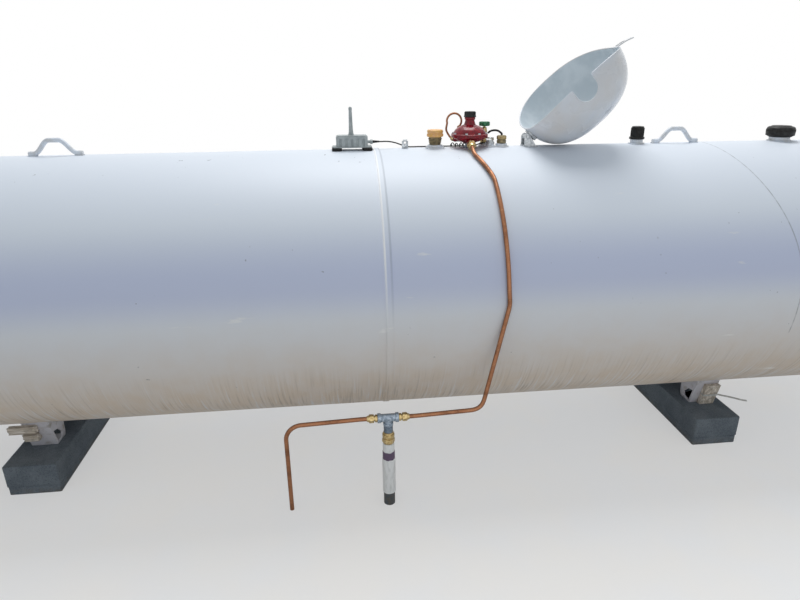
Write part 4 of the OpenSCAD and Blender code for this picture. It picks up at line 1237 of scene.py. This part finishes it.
class CrownOperator(bpy.types.Operator):
    """Models the weld-on couplings, filling valve, relief cap and large cap"""

    bl_idname = "tank.crown"
    bl_label = "Crown fittings"

    def execute(self, context):
        dressed("couplings", "fitting_enamel", 0.8)
        # Each coupling's foot: the part that stands on it, and how much wider the foot is
        rings = []
        for node, wider in (("fill_valve", 9), ("service_valve", 6), ("float_gauge", 2.5),
                            ("liquid_valve", 7.5), ("relief_cap", -0.5), ("vent_cap", -11)):
            low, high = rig.box(node)
            middle = wheel_at if node == "service_valve" else (low + high) / 2
            radius = (high.y - low.y) / 2 + wider * MM
            ring = [(middle.x + radius * math.cos(a), middle.y + radius * math.sin(a)) for a in turns(64)]
            rings.append([Vector((x, y, crown_at(y) + 1.0 * MM)) for x, y in ring])
        weld("coupling_welds", rings, 3)
        self.filling_valve()
        self.relief_cap()
        self.large_cap()
        return {"FINISHED"}

    def filling_valve(self):
        """Ribbed valve body under a moulded cap with a ring of grips."""
        x, base, top, _ = standing("fill_valve")
        r = standing("fill_cap")[3]
        ribs = [(r + i + wide, base + 5 * i + up)
                for i in range(5) for wide, up in ((-11, 1), (-8.4, 2), (-8.4, 4), (-11, 5))]
        lathed("fill_valve_body", [(r - 12, base), *ribs, (r - 7, top)], 0.8, 72, on_crown(x),
               "dull_brass", "fill_valve", slot="olive_valve")
        cap = [(-2, 0), (0, 2), (0, 11), (-2, 13), (-2, 15), (0, 17), (-0.5, 24), (-4, 27), (-12, 26)]
        lathed("fill_cap_moulding", [(r + wide, top + up) for wide, up in cap], 1.4, 96, on_crown(x),
               "yellow_cap", "fill_cap")
        pegs("fill_cap_grips", 1.1, 9, 0.6, 8, 40, r - 0.5, on_crown(x, up=(top + 2) * MM), "yellow_cap")

    def relief_cap(self):
        """Ribbed rain cap over the relief valve."""
        x, base, _, brim = standing("relief_cap")
        r = brim - 4
        cap = [(4, 0), (4, 8), (-1, 10), (-1, 44), (-3, 49), (-9, 50)]
        lathed("relief_cap_moulding", [(r + wide, base + up) for wide, up in cap], 1.2, 72, on_crown(x),
               "black_nylon", "relief_cap")
        pegs("relief_cap_ribs", 1.5, 32, 0.8, 8, 30, r - 1, on_crown(x, up=(base + 11) * MM), "black_nylon")

    def large_cap(self):
        """Broad screwed cap with a rolled rim."""
        x, base, _, r = standing("vent_cap")
        cap = [(-10, 0), (-8, 3), (-2, 5), (0, 8), (-1.2, 12), (0, 16), (-1.5, 30), (-3, 36), (-8, 40),
               (-16, 41.5), (-18, 44), (-34, 44.6)]
        lathed("vent_cap_moulding", [(r + wide, base + up) for wide, up in cap] + [(0, base + 45)], 2.0, 96,
               on_crown(x), "black_nylon", "vent_cap", steps=4)
        pegs("vent_cap_grips", 1.3, 13, 0.7, 8, 60, r - 1.4, on_crown(x, up=(base + 17) * MM), "black_nylon")


# Regulator and valves. Sizes are in millimetres from the regulator's axis at the crown
flange_r, flange_low, flange_high = 73, 38, 51
bonnet_low, bonnet_top = 86, 114
inlet_bearing, inlet_h, inlet_reach = 142, 30, 66
outlet_tilt, outlet_turn, outlet_h, outlet_reach, outlet_nut_len = 14, 6, 36, 74, 36


def outlet_line():
    """Direction and start of the regulator's outlet."""
    tilt, turn = math.radians(outlet_tilt), math.radians(outlet_turn)
    way = Vector((-math.sin(turn) * math.cos(tilt), -math.cos(turn) * math.cos(tilt), -math.sin(tilt)))
    return way, on_crown(regulator_x, up=outlet_h * MM).to_translation()


def inlet_way():
    """Direction of the regulator's inlet."""
    return Vector((math.cos(math.radians(inlet_bearing)), math.sin(math.radians(inlet_bearing)), 0))


class RegulatorOperator(bpy.types.Operator):
    """Models the regulator with its flange screws, bonnet and cap"""

    bl_idname = "tank.regulator"
    bl_label = "Regulator"

    def execute(self, context):
        dressed("regulator_stand", "galvanised", 0.5)
        self.casting(context.scene.tank_sizes.screws)
        self.bonnet()
        way, start = outlet_line()
        nut = joined(hexagon(32, 0, 21.6, 2.6, 8.2),
                     bored(8.2, [(14.6, 20), (14, 25), (11.4, 31), (10.6, outlet_nut_len)], 0.8))
        place = along(start + way * outlet_reach * MM, way)
        piece("outlet_nut_brass", placed(nut, place), "brass", "outlet_nut")
        return {"FINISHED"}

    def casting(self, screws):
        """Both halves of the case with their flange, screw pads and screws, the outlet and the inlet."""
        r, seam, bolt_r = flange_r, flange_low + 6.4, flange_r - 8    # the two halves meet at the seam
        place = on_crown(regulator_x)
        lower = solid((24, 16), (26, 19), (40, 23), (r - 14, flange_low - 6), (r - 8, flange_low),
                      (r - 3, flange_low), (r - 1, flange_low + 1), (r - 1, seam - 0.4), (r - 3, seam))
        upper = solid((r - 3, seam - 0.2), (r - 1, seam + 0.3), (r - 1, flange_high - 2),
                      (r - 3, flange_high), (r - 8, flange_high), (r - 10, flange_high + 7),
                      (r - 17, flange_high + 17), (r - 29, flange_high + 26), (r - 43, flange_high + 32),
                      (24, bonnet_low))
        shapes = [turned(eased(lower, 1.6), 96, place), turned(eased(upper, 3.2, 5), 96, place)]
        pad = eased(solid((7.2, flange_low), (7.5, flange_low + 0.6), (7.5, flange_high - 0.4),
                          (7.0, flange_high + 0.4)), 0.8)
        for i in range(screws):
            turn = math.tau * (i + 0.5) / screws
            spot = Vector((math.cos(turn), math.sin(turn), 0)) * bolt_r * MM
            shapes.append(turned(pad, 32, place @ Matrix.Translation(spot)))
        way, start = outlet_line()
        out = outlet_reach
        outlet = solid((14.4, 0), (14.4, out - 11), (16.4, out - 9), (16.4, out - 1.5), (15, out))
        shapes.append(turned(eased(outlet, 1.0), 48, along(start, way)))
        inlet = solid((11, 0), (11, 56), (12.5, 58), (12.5, 65), (11.5, inlet_reach))
        shapes.append(turned(eased(inlet, 0.8), 48, along(place @ Vector((0, 0, inlet_h * MM)), inlet_way())))
        piece("regulator_casting", joined(*shapes), "red_coat", "regulator_case")
        place = on_crown(regulator_x, up=(flange_high + 0.4) * MM) @ Matrix.Rotation(math.pi / screws, 4, "Z")
        ring_of("flange_screws", screw_shape(9, 4.2, 6.2), screws, bolt_r, place, "zinc")

    def bonnet(self):
        """The bonnet's neck and the cap on it, with a ring of grips."""
        place = on_crown(regulator_x)
        top, cap_top = bonnet_top, standing("regulator_cap")[2]
        lathed("bonnet_casting", [
            (24, bonnet_low - 1), (21.5, bonnet_low + 4), (20, bonnet_low + 9), (18, top - 12),
            (18.4, top - 10), (21, top - 8), (21, top)], 1.5, 72, place, "red_coat", "regulator_bonnet")
        lathed("regulator_cap_moulding", [
            (23, top), (24, top + 1.5), (24, top + 4), (22, top + 6), (21, cap_top - 3), (19.5, cap_top),
            (12, cap_top - 0.4)], 0.9, 72, place, "black_nylon", "regulator_cap")
        pegs("regulator_cap_grips", 1.6, cap_top - top - 7, 0.7, 8, 18, 21,
             on_crown(regulator_x, up=(top + 5) * MM), "black_nylon", tip=1.4)


class ValveOperator(bpy.types.Operator):
    """Models the service valve, handwheel, pigtail, gauge and liquid valve"""

    bl_idname = "tank.valves"
    bl_label = "Valves"

    def execute(self, context):
        place = on_crown(wheel_at.x, wheel_at.y)
        top = standing("service_valve")[2]
        body = solid((15, 12), (15, 24), (12, 26), (12, top - 28), (10.5, top - 24), (10, top - 15),
                     (5, top - 13), (5, top))
        side = turned(eased(solid((10, 0), (10, 20), (11, 21), (11, 26)), 0.7), 40,
                      along(place @ Vector((0, 0, 31 * MM)), (-1, 0, 0)))
        nut = placed(hexagon(26, 26, 36, 1.8), place)
        piece("service_valve_brass", joined(turned(eased(body, 1.0), 64, place), side, nut), "brass",
              "service_valve")
        self.handwheel(place)
        self.pigtail()
        self.gauge()
        self.liquid_valve()
        return {"FINISHED"}

    def handwheel(self, place):
        """A cast wheel with five scallops in its rim and a dished web."""
        low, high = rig.box("handwheel")
        r, z = (high.y - low.y) / 2 / MM, (low.z - crown_h) / MM
        hub_r, lobes, deepest = 11, 5, 2.2
        profile = eased([(5.3, z), (hub_r, z), (r - 7, z + 3), (r - 2, z + 1), (r, z + 4), (r, z + 15),
                         (r - 2, z + 18), (r - 6, z + 15), (hub_r, z + 9), (9, z + 10), (5.3, z + 10)], 1.2)
        points, faces = turned(profile, 120, closed=True, unit=1)
        shaped = []
        for p in points:
            radius, turn = math.hypot(p.x, p.y), math.atan2(p.y, p.x)
            outwards = max(0.0, (radius - hub_r) / (r - hub_r))
            dip = max(0.0, math.cos(lobes * turn)) ** 3 * deepest * outwards
            shaped.append(Vector((p.x, p.y, 0)) * (radius - dip) / radius + Vector((0, 0, p.z)))
        piece("handwheel_cast", placed((shaped, faces), place), "green_enamel", "handwheel", body="handwheel")
        screw = placed(screw_shape(7, 2.6, 4.8), place @ Matrix.Translation((0, 0, (z + 10) * MM)))
        piece("handwheel_screw", screw, "zinc")

    def pigtail(self):
        """The copper loop between regulator and service valve, with a nut at each end."""
        place = on_crown(regulator_x)
        way = inlet_way()
        start = Vector((0, 0, inlet_h)) + way * (inlet_reach + 0.1)
        middle, radius, rise = Vector((-52, 50, 96)), 30, 8
        loop = []
        for i in range(13):
            turn = math.radians(195 - 250 * i / 12)
            loop.append(middle + Vector((radius * math.cos(turn), rise * i / 12, radius * math.sin(turn))))
        valve = Vector(((wheel_at.x - regulator_x) / MM - 26.1, wheel_at.y / MM, inlet_h))
        points = [start, start + 5 * way, start + 10 * way, start + 21 * way + Vector((-2, 0, 10)),
                  start + Vector((-31, 14, 33)), *loop, Vector((-15, 78, 56)), Vector((4, 86, 39))]
        points += [valve + Vector(off) for off in ((-26, 13, 0), (-12, 0, 0), (-6, 0, 0), (0, 0, 0))]
        piece("pigtail_tube", placed(swept(smooth_path(points, 6), 4.0, 18), place), "copper", "pigtail")
        nut = joined(hexagon(19, 0, 11, 1.4, 4.1), bored(4.1, [(8, 10), (6.5, 17)], 0.6, 32))
        for end, at, side in (("regulator", start - way * 1.0, way),
                              ("valve", valve + Vector((1.0, 0, 0)), Vector((-1, 0, 0)))):
            piece("pigtail_nut_" + end, placed(nut, place @ along(at * MM, side)), "brass")

    def gauge(self):
        """Float gauge with four screws and a clear lens."""
        x = standing("float_gauge")[0]
        lathed("float_gauge_body", [(18, 10), (18, 18), (14, 21), (14, 26)], 1.0, 64, on_crown(x),
               "zinc", "float_gauge", slot="galvanised")
        ring_of("gauge_screws", screw_shape(4.5, 2.0, 2.8), 4, 15.2,
                on_crown(x, up=18 * MM) @ Matrix.Rotation(math.pi / 4, 4, "Z"), "zinc")
        lathed("gauge_lens_clear", [(15, 26), (16, 27), (16, 33), (13, 36)], 1.2, 64, on_crown(x),
               "clear_lens", "gauge_lens")

    def liquid_valve(self):
        """Brass valve cap with a knurled upper ring, and the black tube from its top."""
        low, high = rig.box("liquid_valve")
        x, r = (low.x + high.x) / 2, (high.y - low.y) / 2 / MM
        lathed("liquid_valve_brass", [
            (r - 3, 12), (r - 0.6, 15), (r - 0.6, 24), (r - 2.4, 25), (r - 2.4, 27), (r - 0.8, 28),
            (r - 0.8, 40), (r - 3.5, 43)], 0.8, 72, on_crown(x), "dull_brass", "liquid_valve")
        pegs("liquid_valve_knurl", 0.9, 11, 0.5, 6, 44, r - 0.9, on_crown(x, up=28.5 * MM), "brass")
        path = smooth_path([(-44, 42, 50), (-38, 32, 57), (-26, 20, 61), (-14, 10, 60), (-5, 3, 54),
                            (0, 0, 49), (0, 0, 46), (0, 0, 43.1)], 6)
        piece("vent_tube_moulding", placed(swept(path, 4.0, 16), on_crown(x)), "black_rubber", "vent_tube",
              slot="black_plastic")


class TransmitterOperator(bpy.types.Operator):
    """Dresses the level transmitter, its aerial and feet"""

    bl_idname = "tank.transmitter"
    bl_label = "Level transmitter"

    def execute(self, context):
        dressed("sender_feet", "black_rubber", 1.5)
        dressed("sender_case", "grey_case", 1.2)
        # The relief on the lead is ribbed and grows thinner away from the case
        low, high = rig.box("sender_relief")
        ribs = [(5.6 - 0.33 * i - inwards, 3 + 3.6 * i + up)
                for i in range(6) for inwards, up in ((0, 0), (0.9, 0.6), (0.9, 1.6), (0.1, 2.2))]
        middle = (low + high) / 2
        lathed("lead_relief", [(5.7, 0), *ribs, (3.6, (high.x - low.x) / MM)], 0.4, 36,
               along((low.x, middle.y, middle.z), (1, 0, 0)), "black_rubber", "sender_relief", steps=2)
        x, base, top, _ = standing("aerial")
        lathed("aerial_moulding", [
            (11, base), (11, base + 3), (9.5, base + 6), (8, base + 18), (6, top - 14), (6.5, top - 12),
            (6.5, top - 4), (4, top)], 1.2, 48, on_crown(x), "grey_case", "aerial")
        return {"FINISHED"}


# Lid

def lid_shape(size):
    """Points and faces of the shut lid's outer skin, and the closed path of its rim."""
    half, r, form = size.lid_length / 2, size.lid_width / 2, size.lid_form
    middle = hinge.x - size.lid_end_gap - half
    level = crown_h + size.lid_crown - r
    cut, drop = shell_r + size.lid_gap, level - axis_h
    notch_x = regulator_x
    notch_half = size.notch_width / 2
    notch_level = crown_at(r) + size.lid_gap + size.notch_height - notch_half

    def section(x):
        return r * max(0.0, 1 - abs((x - middle) / half) ** form) ** (1 / form)

    # Stations along the lid, closer together towards its ends and over the notch's round top
    least, beside = cut - drop + 0.02 * MM, 2 * MM
    steep = math.acos((least / r) ** (form / 2))
    half_count, notch_count = 32, 18
    stations = []
    for i in range(2 * half_count + 1):
        t = steep * (i / half_count - 1)
        x = middle + half * math.copysign(abs(math.sin(t)) ** (2 / form), t)
        if abs(x - notch_x) > notch_half + beside:
            stations.append((x, False))
    for k in range(notch_count + 1):
        t = math.radians(180 * k / notch_count - 90)
        stations.append((notch_x + notch_half * math.sin(t), 0 < k < notch_count))
    stations.sort()
    # Each station has rows over its top and skirt rows below them, which cover more of it away from the notch
    rows, skirt, top_share, more_skirt, change = 44, 8, 0.9, 0.2, 60 * MM
    points, faces, columns = [], [], []
    for x, inside in stations:
        rho = max(section(x), least)
        rim = math.acos(max(-1.0, min(1.0, (cut * cut - rho * rho - drop * drop) / (2 * rho * drop))))
        away = abs(x - notch_x)
        high = notch_level + (math.sqrt(notch_half ** 2 - away ** 2) if away < notch_half else 0.0)
        shoulder = math.acos(max(-1.0, min(1.0, (high - level) / rho)))
        if away > notch_half + 1e-6:
            ease = min(1.0, (away - notch_half) / change)
            shoulder = min(shoulder, rim * (top_share - more_skirt * ease))
        drops = [shoulder + (rim - shoulder) * m / skirt for m in range(1, skirt + 1)]
        angles = [shoulder * (2 * k / rows - 1) for k in range(rows + 1)] + drops
        if not inside:
            angles = [-a for a in drops[::-1]] + angles
        columns.append((len(points), 0 if inside else skirt))
        points += [Vector((x, rho * math.sin(a), level + rho * math.cos(a))) for a in angles]
    for (a, skip_a), (b, skip_b) in zip(columns, columns[1:]):
        for k in range(rows + skirt):
            faces.append((a + skip_a + k, b + skip_b + k, b + skip_b + k + 1, a + skip_a + k + 1))
        if skip_a and skip_b:
            faces += [(a + k, b + k, b + k + 1, a + k + 1) for k in range(skirt)]
    rear = [points[start + skip + rows + skirt] for start, skip in columns]
    front = []
    for i, (start, skip) in enumerate(columns):
        edge = points[start:start + skip + 1]
        if skip and i + 1 < len(columns) and not columns[i + 1][1]:
            front += edge
        elif skip and i > 0 and not columns[i - 1][1]:
            front += edge[::-1]
        else:
            front.append(edge[0])
    return points, faces, rear + front[::-1]


def opened():
    """Turns what belongs to the lid from shut to open, about its hinge."""
    return Matrix.Translation(hinge) @ Matrix.Rotation(lid_open, 4, "Y") @ Matrix.Translation(-hinge)


class LidOperator(bpy.types.Operator):
    """Models the domed lid with its rolled rim, and dresses the hinge, strap and pull"""

    bl_idname = "tank.lid"
    bl_label = "Lid"

    def execute(self, context):
        size = context.scene.tank_sizes
        points, faces, loop = lid_shape(size)
        item = new_object("lid_pressing", [opened() @ p for p in points], faces)
        build = bmesh.new()
        build.from_mesh(item.data)
        bmesh.ops.remove_doubles(build, verts=build.verts, dist=0.05 * MM)
        build.to_mesh(item.data)
        build.free()
        item.data.materials.append(finishes["lid_enamel"])
        item.data.materials.append(finishes["lid_inside_sky_tinted_enamel"])
        wall = item.modifiers.new("Sheet", "SOLIDIFY")
        wall.thickness = size.lid_sheet
        wall.offset = -1
        wall.material_offset = 1
        wall.material_offset_rim = 0
        settled(item)
        finished(item, "lid_enamel", "lid", body="lid", sharp=45)
        # The rolled rim, its corners eased
        rim = [opened() @ p for p in loop]
        rim = [p for i, p in enumerate(rim) if (p - rim[i - 1]).length > 0.2 * MM]
        rim = spaced(rim, 3 * MM, closed=True)
        for _ in range(2):
            rim = [(rim[k - 1] + 2 * rim[k] + rim[(k + 1) % len(rim)]) / 4 for k in range(len(rim))]
        piece("lid_rim", swept(rim, size.lid_sheet * 0.75, 12, closed=True), "lid_enamel", body="lid",
              sharp=80)
        for node, finish, bevel in (("lid_strap", "zinc", 0.8), ("lid_pull", "lid_enamel", 1.2),
                                    ("hinge_bracket", "zinc", 0.6), ("hinge_pin", "zinc", 0.4),
                                    ("catch_tab", "zinc", 0.5)):
            dressed(node, finish, bevel)
        return {"FINISHED"}


# Pipework

class PipeOperator(bpy.types.Operator):
    """Bends the copper runs and models the tee, nuts and standing pipe"""

    bl_idname = "tank.pipework"
    bl_label = "Pipework"

    def execute(self, context):
        pipe = context.scene.tank_sizes.pipe
        low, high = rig.box("tee")
        tee = Vector(((low.x + high.x) / 2, (low.y + high.y) / 2, high.z - 17.5 * MM))
        half = (high.x - low.x) / 2
        # How far from the tee's middle a copper run enters its nut, and where it is straight again
        into, straight = Vector((half + 4 * MM, 0, 0)), Vector((half + 60 * MM, 0, 0))
        self.long_run(tee, into, straight, pipe)
        drop_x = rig.box("copper_drop")[0].x + pipe / 2
        path = rounded_path([tee - into, tee - straight, (drop_x, tee.y, tee.z - 10 * MM),
                             (drop_x, tee.y, 0)], 58 * MM, 14)
        piece("copper_drop_tube", swept(path, pipe / 2, 24), "copper", "copper_drop")
        self.nuts(tee, half)
        dressed("tee", "galvanised", 1.5)
        self.standing_pipe(tee)
        return {"FINISHED"}

    def long_run(self, tee, into, straight, pipe):
        """The run from the regulator over the shell's front and along to the tee."""
        way, start = outlet_line()
        radius = shell_r + pipe / 2 + 1.5 * MM
        leave = start + way * (outlet_reach + 3) * MM
        down, bend, away, steps = 16, 33, 80, 26    # degrees in front of the crown line

        def on_shell(angle, aside=0.0):
            a = math.radians(angle)
            shift = -11 + 2.4 * (min(angle, bend) - down) + 0.2 * max(0, angle - bend) + aside
            return Vector((regulator_x + shift * MM, -radius * math.sin(a), axis_h + radius * math.cos(a)))

        front = [on_shell(down + (away - down) * i / steps) for i in range(steps + 1)]
        side = rounded_path([on_shell(away), on_shell(away + 5, 2),
                             (regulator_x - 46 * MM, tee.y, tee.z + 10 * MM), tee + straight, tee + into],
                            40 * MM, 12)
        path = [leave, leave + way * 20 * MM, leave + way * (outlet_nut_len + 2) * MM] + front + side[1:]
        path = spaced(path, 8 * MM)
        # Softer kinks, with the stretches in the nuts kept straight
        kept = 4
        for _ in range(4):
            inner = [(path[k - 1] + 2 * path[k] + path[k + 1]) / 4 for k in range(kept, len(path) - kept)]
            path = path[:kept] + inner + path[-kept:]
        piece("copper_line_tube", swept(path, pipe / 2, 24), "copper", "copper_line")

    def nuts(self, tee, half):
        """A flare nut and its adapter at each side of the tee."""
        bore = 8.25
        nut = joined(hexagon(24, 0, 9, 1.4, bore), hexagon(27, 12, 30, 2.0, bore),
                     bored(bore, [(10.4, 8.4), (10.4, 12.6)], 0.4),
                     bored(bore, [(12, 29.4), (11.4, 33), (10, 37), (9.4, 38)], 0.8),
                     bored(bore, [(11, -3), (11, 0.4)], 0.4))
        ends = [along(tee + Vector((side * (half + 0.4 * MM), 0, 0)), (side, 0, 0)) for side in (-1, 1)]
        piece("flare_nuts_brass", joined(*[placed(nut, end) for end in ends]), "brass", "flare_nuts")

    def standing_pipe(self, tee):
        """Threaded nipple, union, stepped sleeve and the grey pipe below it."""
        feet, talls = {}, {}
        for node in ("riser_nipple", "riser_union", "riser_sleeve", "riser_pipe"):
            low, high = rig.box(node)
            feet[node] = Matrix.Translation((tee.x, tee.y, low.z))
            talls[node] = (high.z - low.z) / MM
        pitch, tall = 2.2, talls["riser_nipple"]
        thread = [(16.2, 0)]
        for level in (i * pitch for i in range(int(tall / pitch))):
            thread += [(15.1, level + 0.4), (16.5, level + pitch / 2), (15.1, level + pitch - 0.3)]
        piece("riser_nipple_threads", turned(solid(*thread, (15.6, tall)), 64, feet["riser_nipple"]),
              "galvanised", "riser_nipple", sharp=20)
        foot, tall = feet["riser_union"], talls["riser_union"]
        body = solid((18, 0), (18, 24), (21.4, 24.4), (22, 26), (22, 36), (21.4, 37.6), (18, 38), (18, tall))
        ring = placed(hexagon(40, 3, 20, 2.6), foot)
        piece("riser_union_brass", joined(turned(eased(body, 0.9), 64, foot), ring), "brass", "riser_union")
        low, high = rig.box("riser_sleeve")
        r, tall = (high.y - low.y) / 2 / MM, talls["riser_sleeve"]
        lathed("riser_sleeve_tube", [
            (r - 0.4, 0), (r, 1), (r, tall - 67), (r - 0.8, tall - 66), (r - 1.5, tall - 65.6),
            (r - 1.5, tall - 36), (r - 2.2, tall - 35), (r - 3, tall - 34.6), (r - 3, tall - 0.8),
            (r - 3.6, tall)], 0.6, 64, feet["riser_sleeve"], "sleeve", "riser_sleeve")
        low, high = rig.box("riser_pipe")
        r = (high.y - low.y) / 2 / MM
        piece("riser_pipe_tube", turned(solid((r, 0), (r, talls["riser_pipe"])), 64, feet["riser_pipe"]),
              "grey_pipe", "riser_pipe")


# Stage

class StageOperator(bpy.types.Operator):
    """Lays the floor and sets the lamps and the even light"""

    bl_idname = "tank.stage"
    bl_label = "Stage"

    def execute(self, context):
        stage = context.scene.tank_stage
        reach, near, far, squeezed, least = 30.0, 1.0, 2.3, 0.42, 0.45
        corners = [(x * reach, y * reach, 0) for x, y in ((-1, -1), (1, -1), (1, 1), (-1, 1))]
        floor = new_object("floor", corners, [(0, 1, 2, 3)])
        tree, shader, where = begin("floor")
        coated(tree, shader, stage.floor, ("#e0e1e2", patches(tree, where, 0.6)))
        surfaced(tree, shader, 0.85)
        # From near to far round the tank the floor runs out into the white background. The distance is
        # squeezed along the tank, and the floor keeps its shadow, softened by the least share of white
        shrunk = add(tree, "ShaderNodeVectorMath", {0: where, 1: (squeezed, 1.0, 1.0)}, operation="MULTIPLY")
        away = add(tree, "ShaderNodeVectorMath", {0: shrunk.outputs[0]}, operation="LENGTH").outputs["Value"]
        fade = add(tree, "ShaderNodeMapRange", {"Value": away, "From Min": near, "From Max": far},
                   interpolation_type="SMOOTHSTEP").outputs[0]
        fade = add(tree, "ShaderNodeMapRange", {"Value": fade, "To Min": least}).outputs[0]
        share = add(tree, "ShaderNodeMath", {0: fade, 1: self.seen(tree)}, operation="MULTIPLY").outputs[0]
        white = add(tree, "ShaderNodeEmission", {"Color": (1.0, 1.0, 1.0, 1.0), "Strength": 1.0})
        mixed = add(tree, "ShaderNodeMixShader", {0: share, 1: shader.outputs[0], 2: white.outputs[0]})
        tree.links.new(mixed.outputs[0], tree.nodes["Material Output"].inputs["Surface"])
        floor.data.materials.append(finishes["floor"])
        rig.stage(floor)
        self.lamp("key_lamp", at=(0.5, 1.5, 5.4), aim=(0.3, -0.1, 1.0), size=2.6, power=stage.key)
        self.lamp("fill_lamp", at=(0.9, -4.8, 1.2), aim=(0.4, 0, 0.7), size=4.0, power=stage.fill)
        self.world(context, stage.sky)
        context.scene.view_settings.view_transform = "Standard"
        return {"FINISHED"}

    def lamp(self, name, at, aim, size, power):
        """One square soft lamp."""
        light = bpy.data.lights.new(name, "AREA")
        light.size = size
        light.energy = power
        made = bpy.data.objects.new(name, light)
        made.location = at
        made.rotation_euler = (Vector(aim) - Vector(at)).to_track_quat("-Z", "Y").to_euler()
        bpy.context.scene.collection.objects.link(made)

    def world(self, context, level):
        """Even light from all round, and a white background where the camera, gloss or glass looks at it."""
        world = bpy.data.worlds.new("studio")
        world.use_nodes = True
        tree = world.node_tree
        tree.nodes.clear()
        even = add(tree, "ShaderNodeBackground", {"Color": (0.84, 0.92, 1.0, 1.0), "Strength": level})
        white = add(tree, "ShaderNodeBackground", {"Color": (1.0, 1.0, 1.0, 1.0), "Strength": 1.0})
        mixed = add(tree, "ShaderNodeMixShader", {
            0: self.seen(tree), 1: even.outputs[0], 2: white.outputs[0]})
        out = add(tree, "ShaderNodeOutputWorld")
        tree.links.new(mixed.outputs[0], out.inputs["Surface"])
        context.scene.world = world

    def seen(self, tree):
        """1 where the camera, a gloss or a glass looks, and 0 for the even light."""
        path = add(tree, "ShaderNodeLightPath").outputs
        seen = path["Is Camera Ray"]
        for ray in ("Is Transmission Ray", "Is Glossy Ray"):
            seen = add(tree, "ShaderNodeMath", {0: seen, 1: path[ray]}, operation="MAXIMUM").outputs[0]
        return seen


class TankPanel(bpy.types.Panel):
    """Lists the tank's operators and settings"""

    bl_idname = "TANK_PT_sidebar"
    bl_label = "Tank"
    bl_space_type = "VIEW_3D"
    bl_region_type = "UI"
    bl_category = "Tank"

    def draw(self, context):
        for kind in operators:
            self.layout.operator(kind.bl_idname)
        for group in (context.scene.tank_colours, context.scene.tank_sizes, context.scene.tank_stage):
            for name in group.__annotations__:
                self.layout.prop(group, name)


operators = (CameraOperator, FinishOperator, LeadOperator, VesselOperator, StandOperator, LugOperator,
             CrownOperator, RegulatorOperator, ValveOperator, TransmitterOperator, LidOperator, PipeOperator,
             StageOperator)
groups = (("tank_colours", TankColours), ("tank_sizes", TankSizes), ("tank_stage", TankStage))


def register():
    for name, kind in groups:
        bpy.utils.register_class(kind)
        setattr(bpy.types.Scene, name, PointerProperty(type=kind))
    for kind in (*operators, TankPanel):
        bpy.utils.register_class(kind)


def unregister():
    for kind in (*operators, TankPanel):
        bpy.utils.unregister_class(kind)
    for name, kind in groups:
        delattr(bpy.types.Scene, name)
        bpy.utils.unregister_class(kind)


def main():
    """Makes the whole scene and writes how large it is."""
    register()
    for kind in operators:
        group, name = kind.bl_idname.split(".")
        getattr(getattr(bpy.ops, group), name)()
    boxes = {"cad": [list(corner) for corner in cad_box], "visual": [list(corner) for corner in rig.bounds()]}
    with open("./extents.json", "w") as file:
        json.dump(boxes, file)


if __name__ == "__main__":
    main()
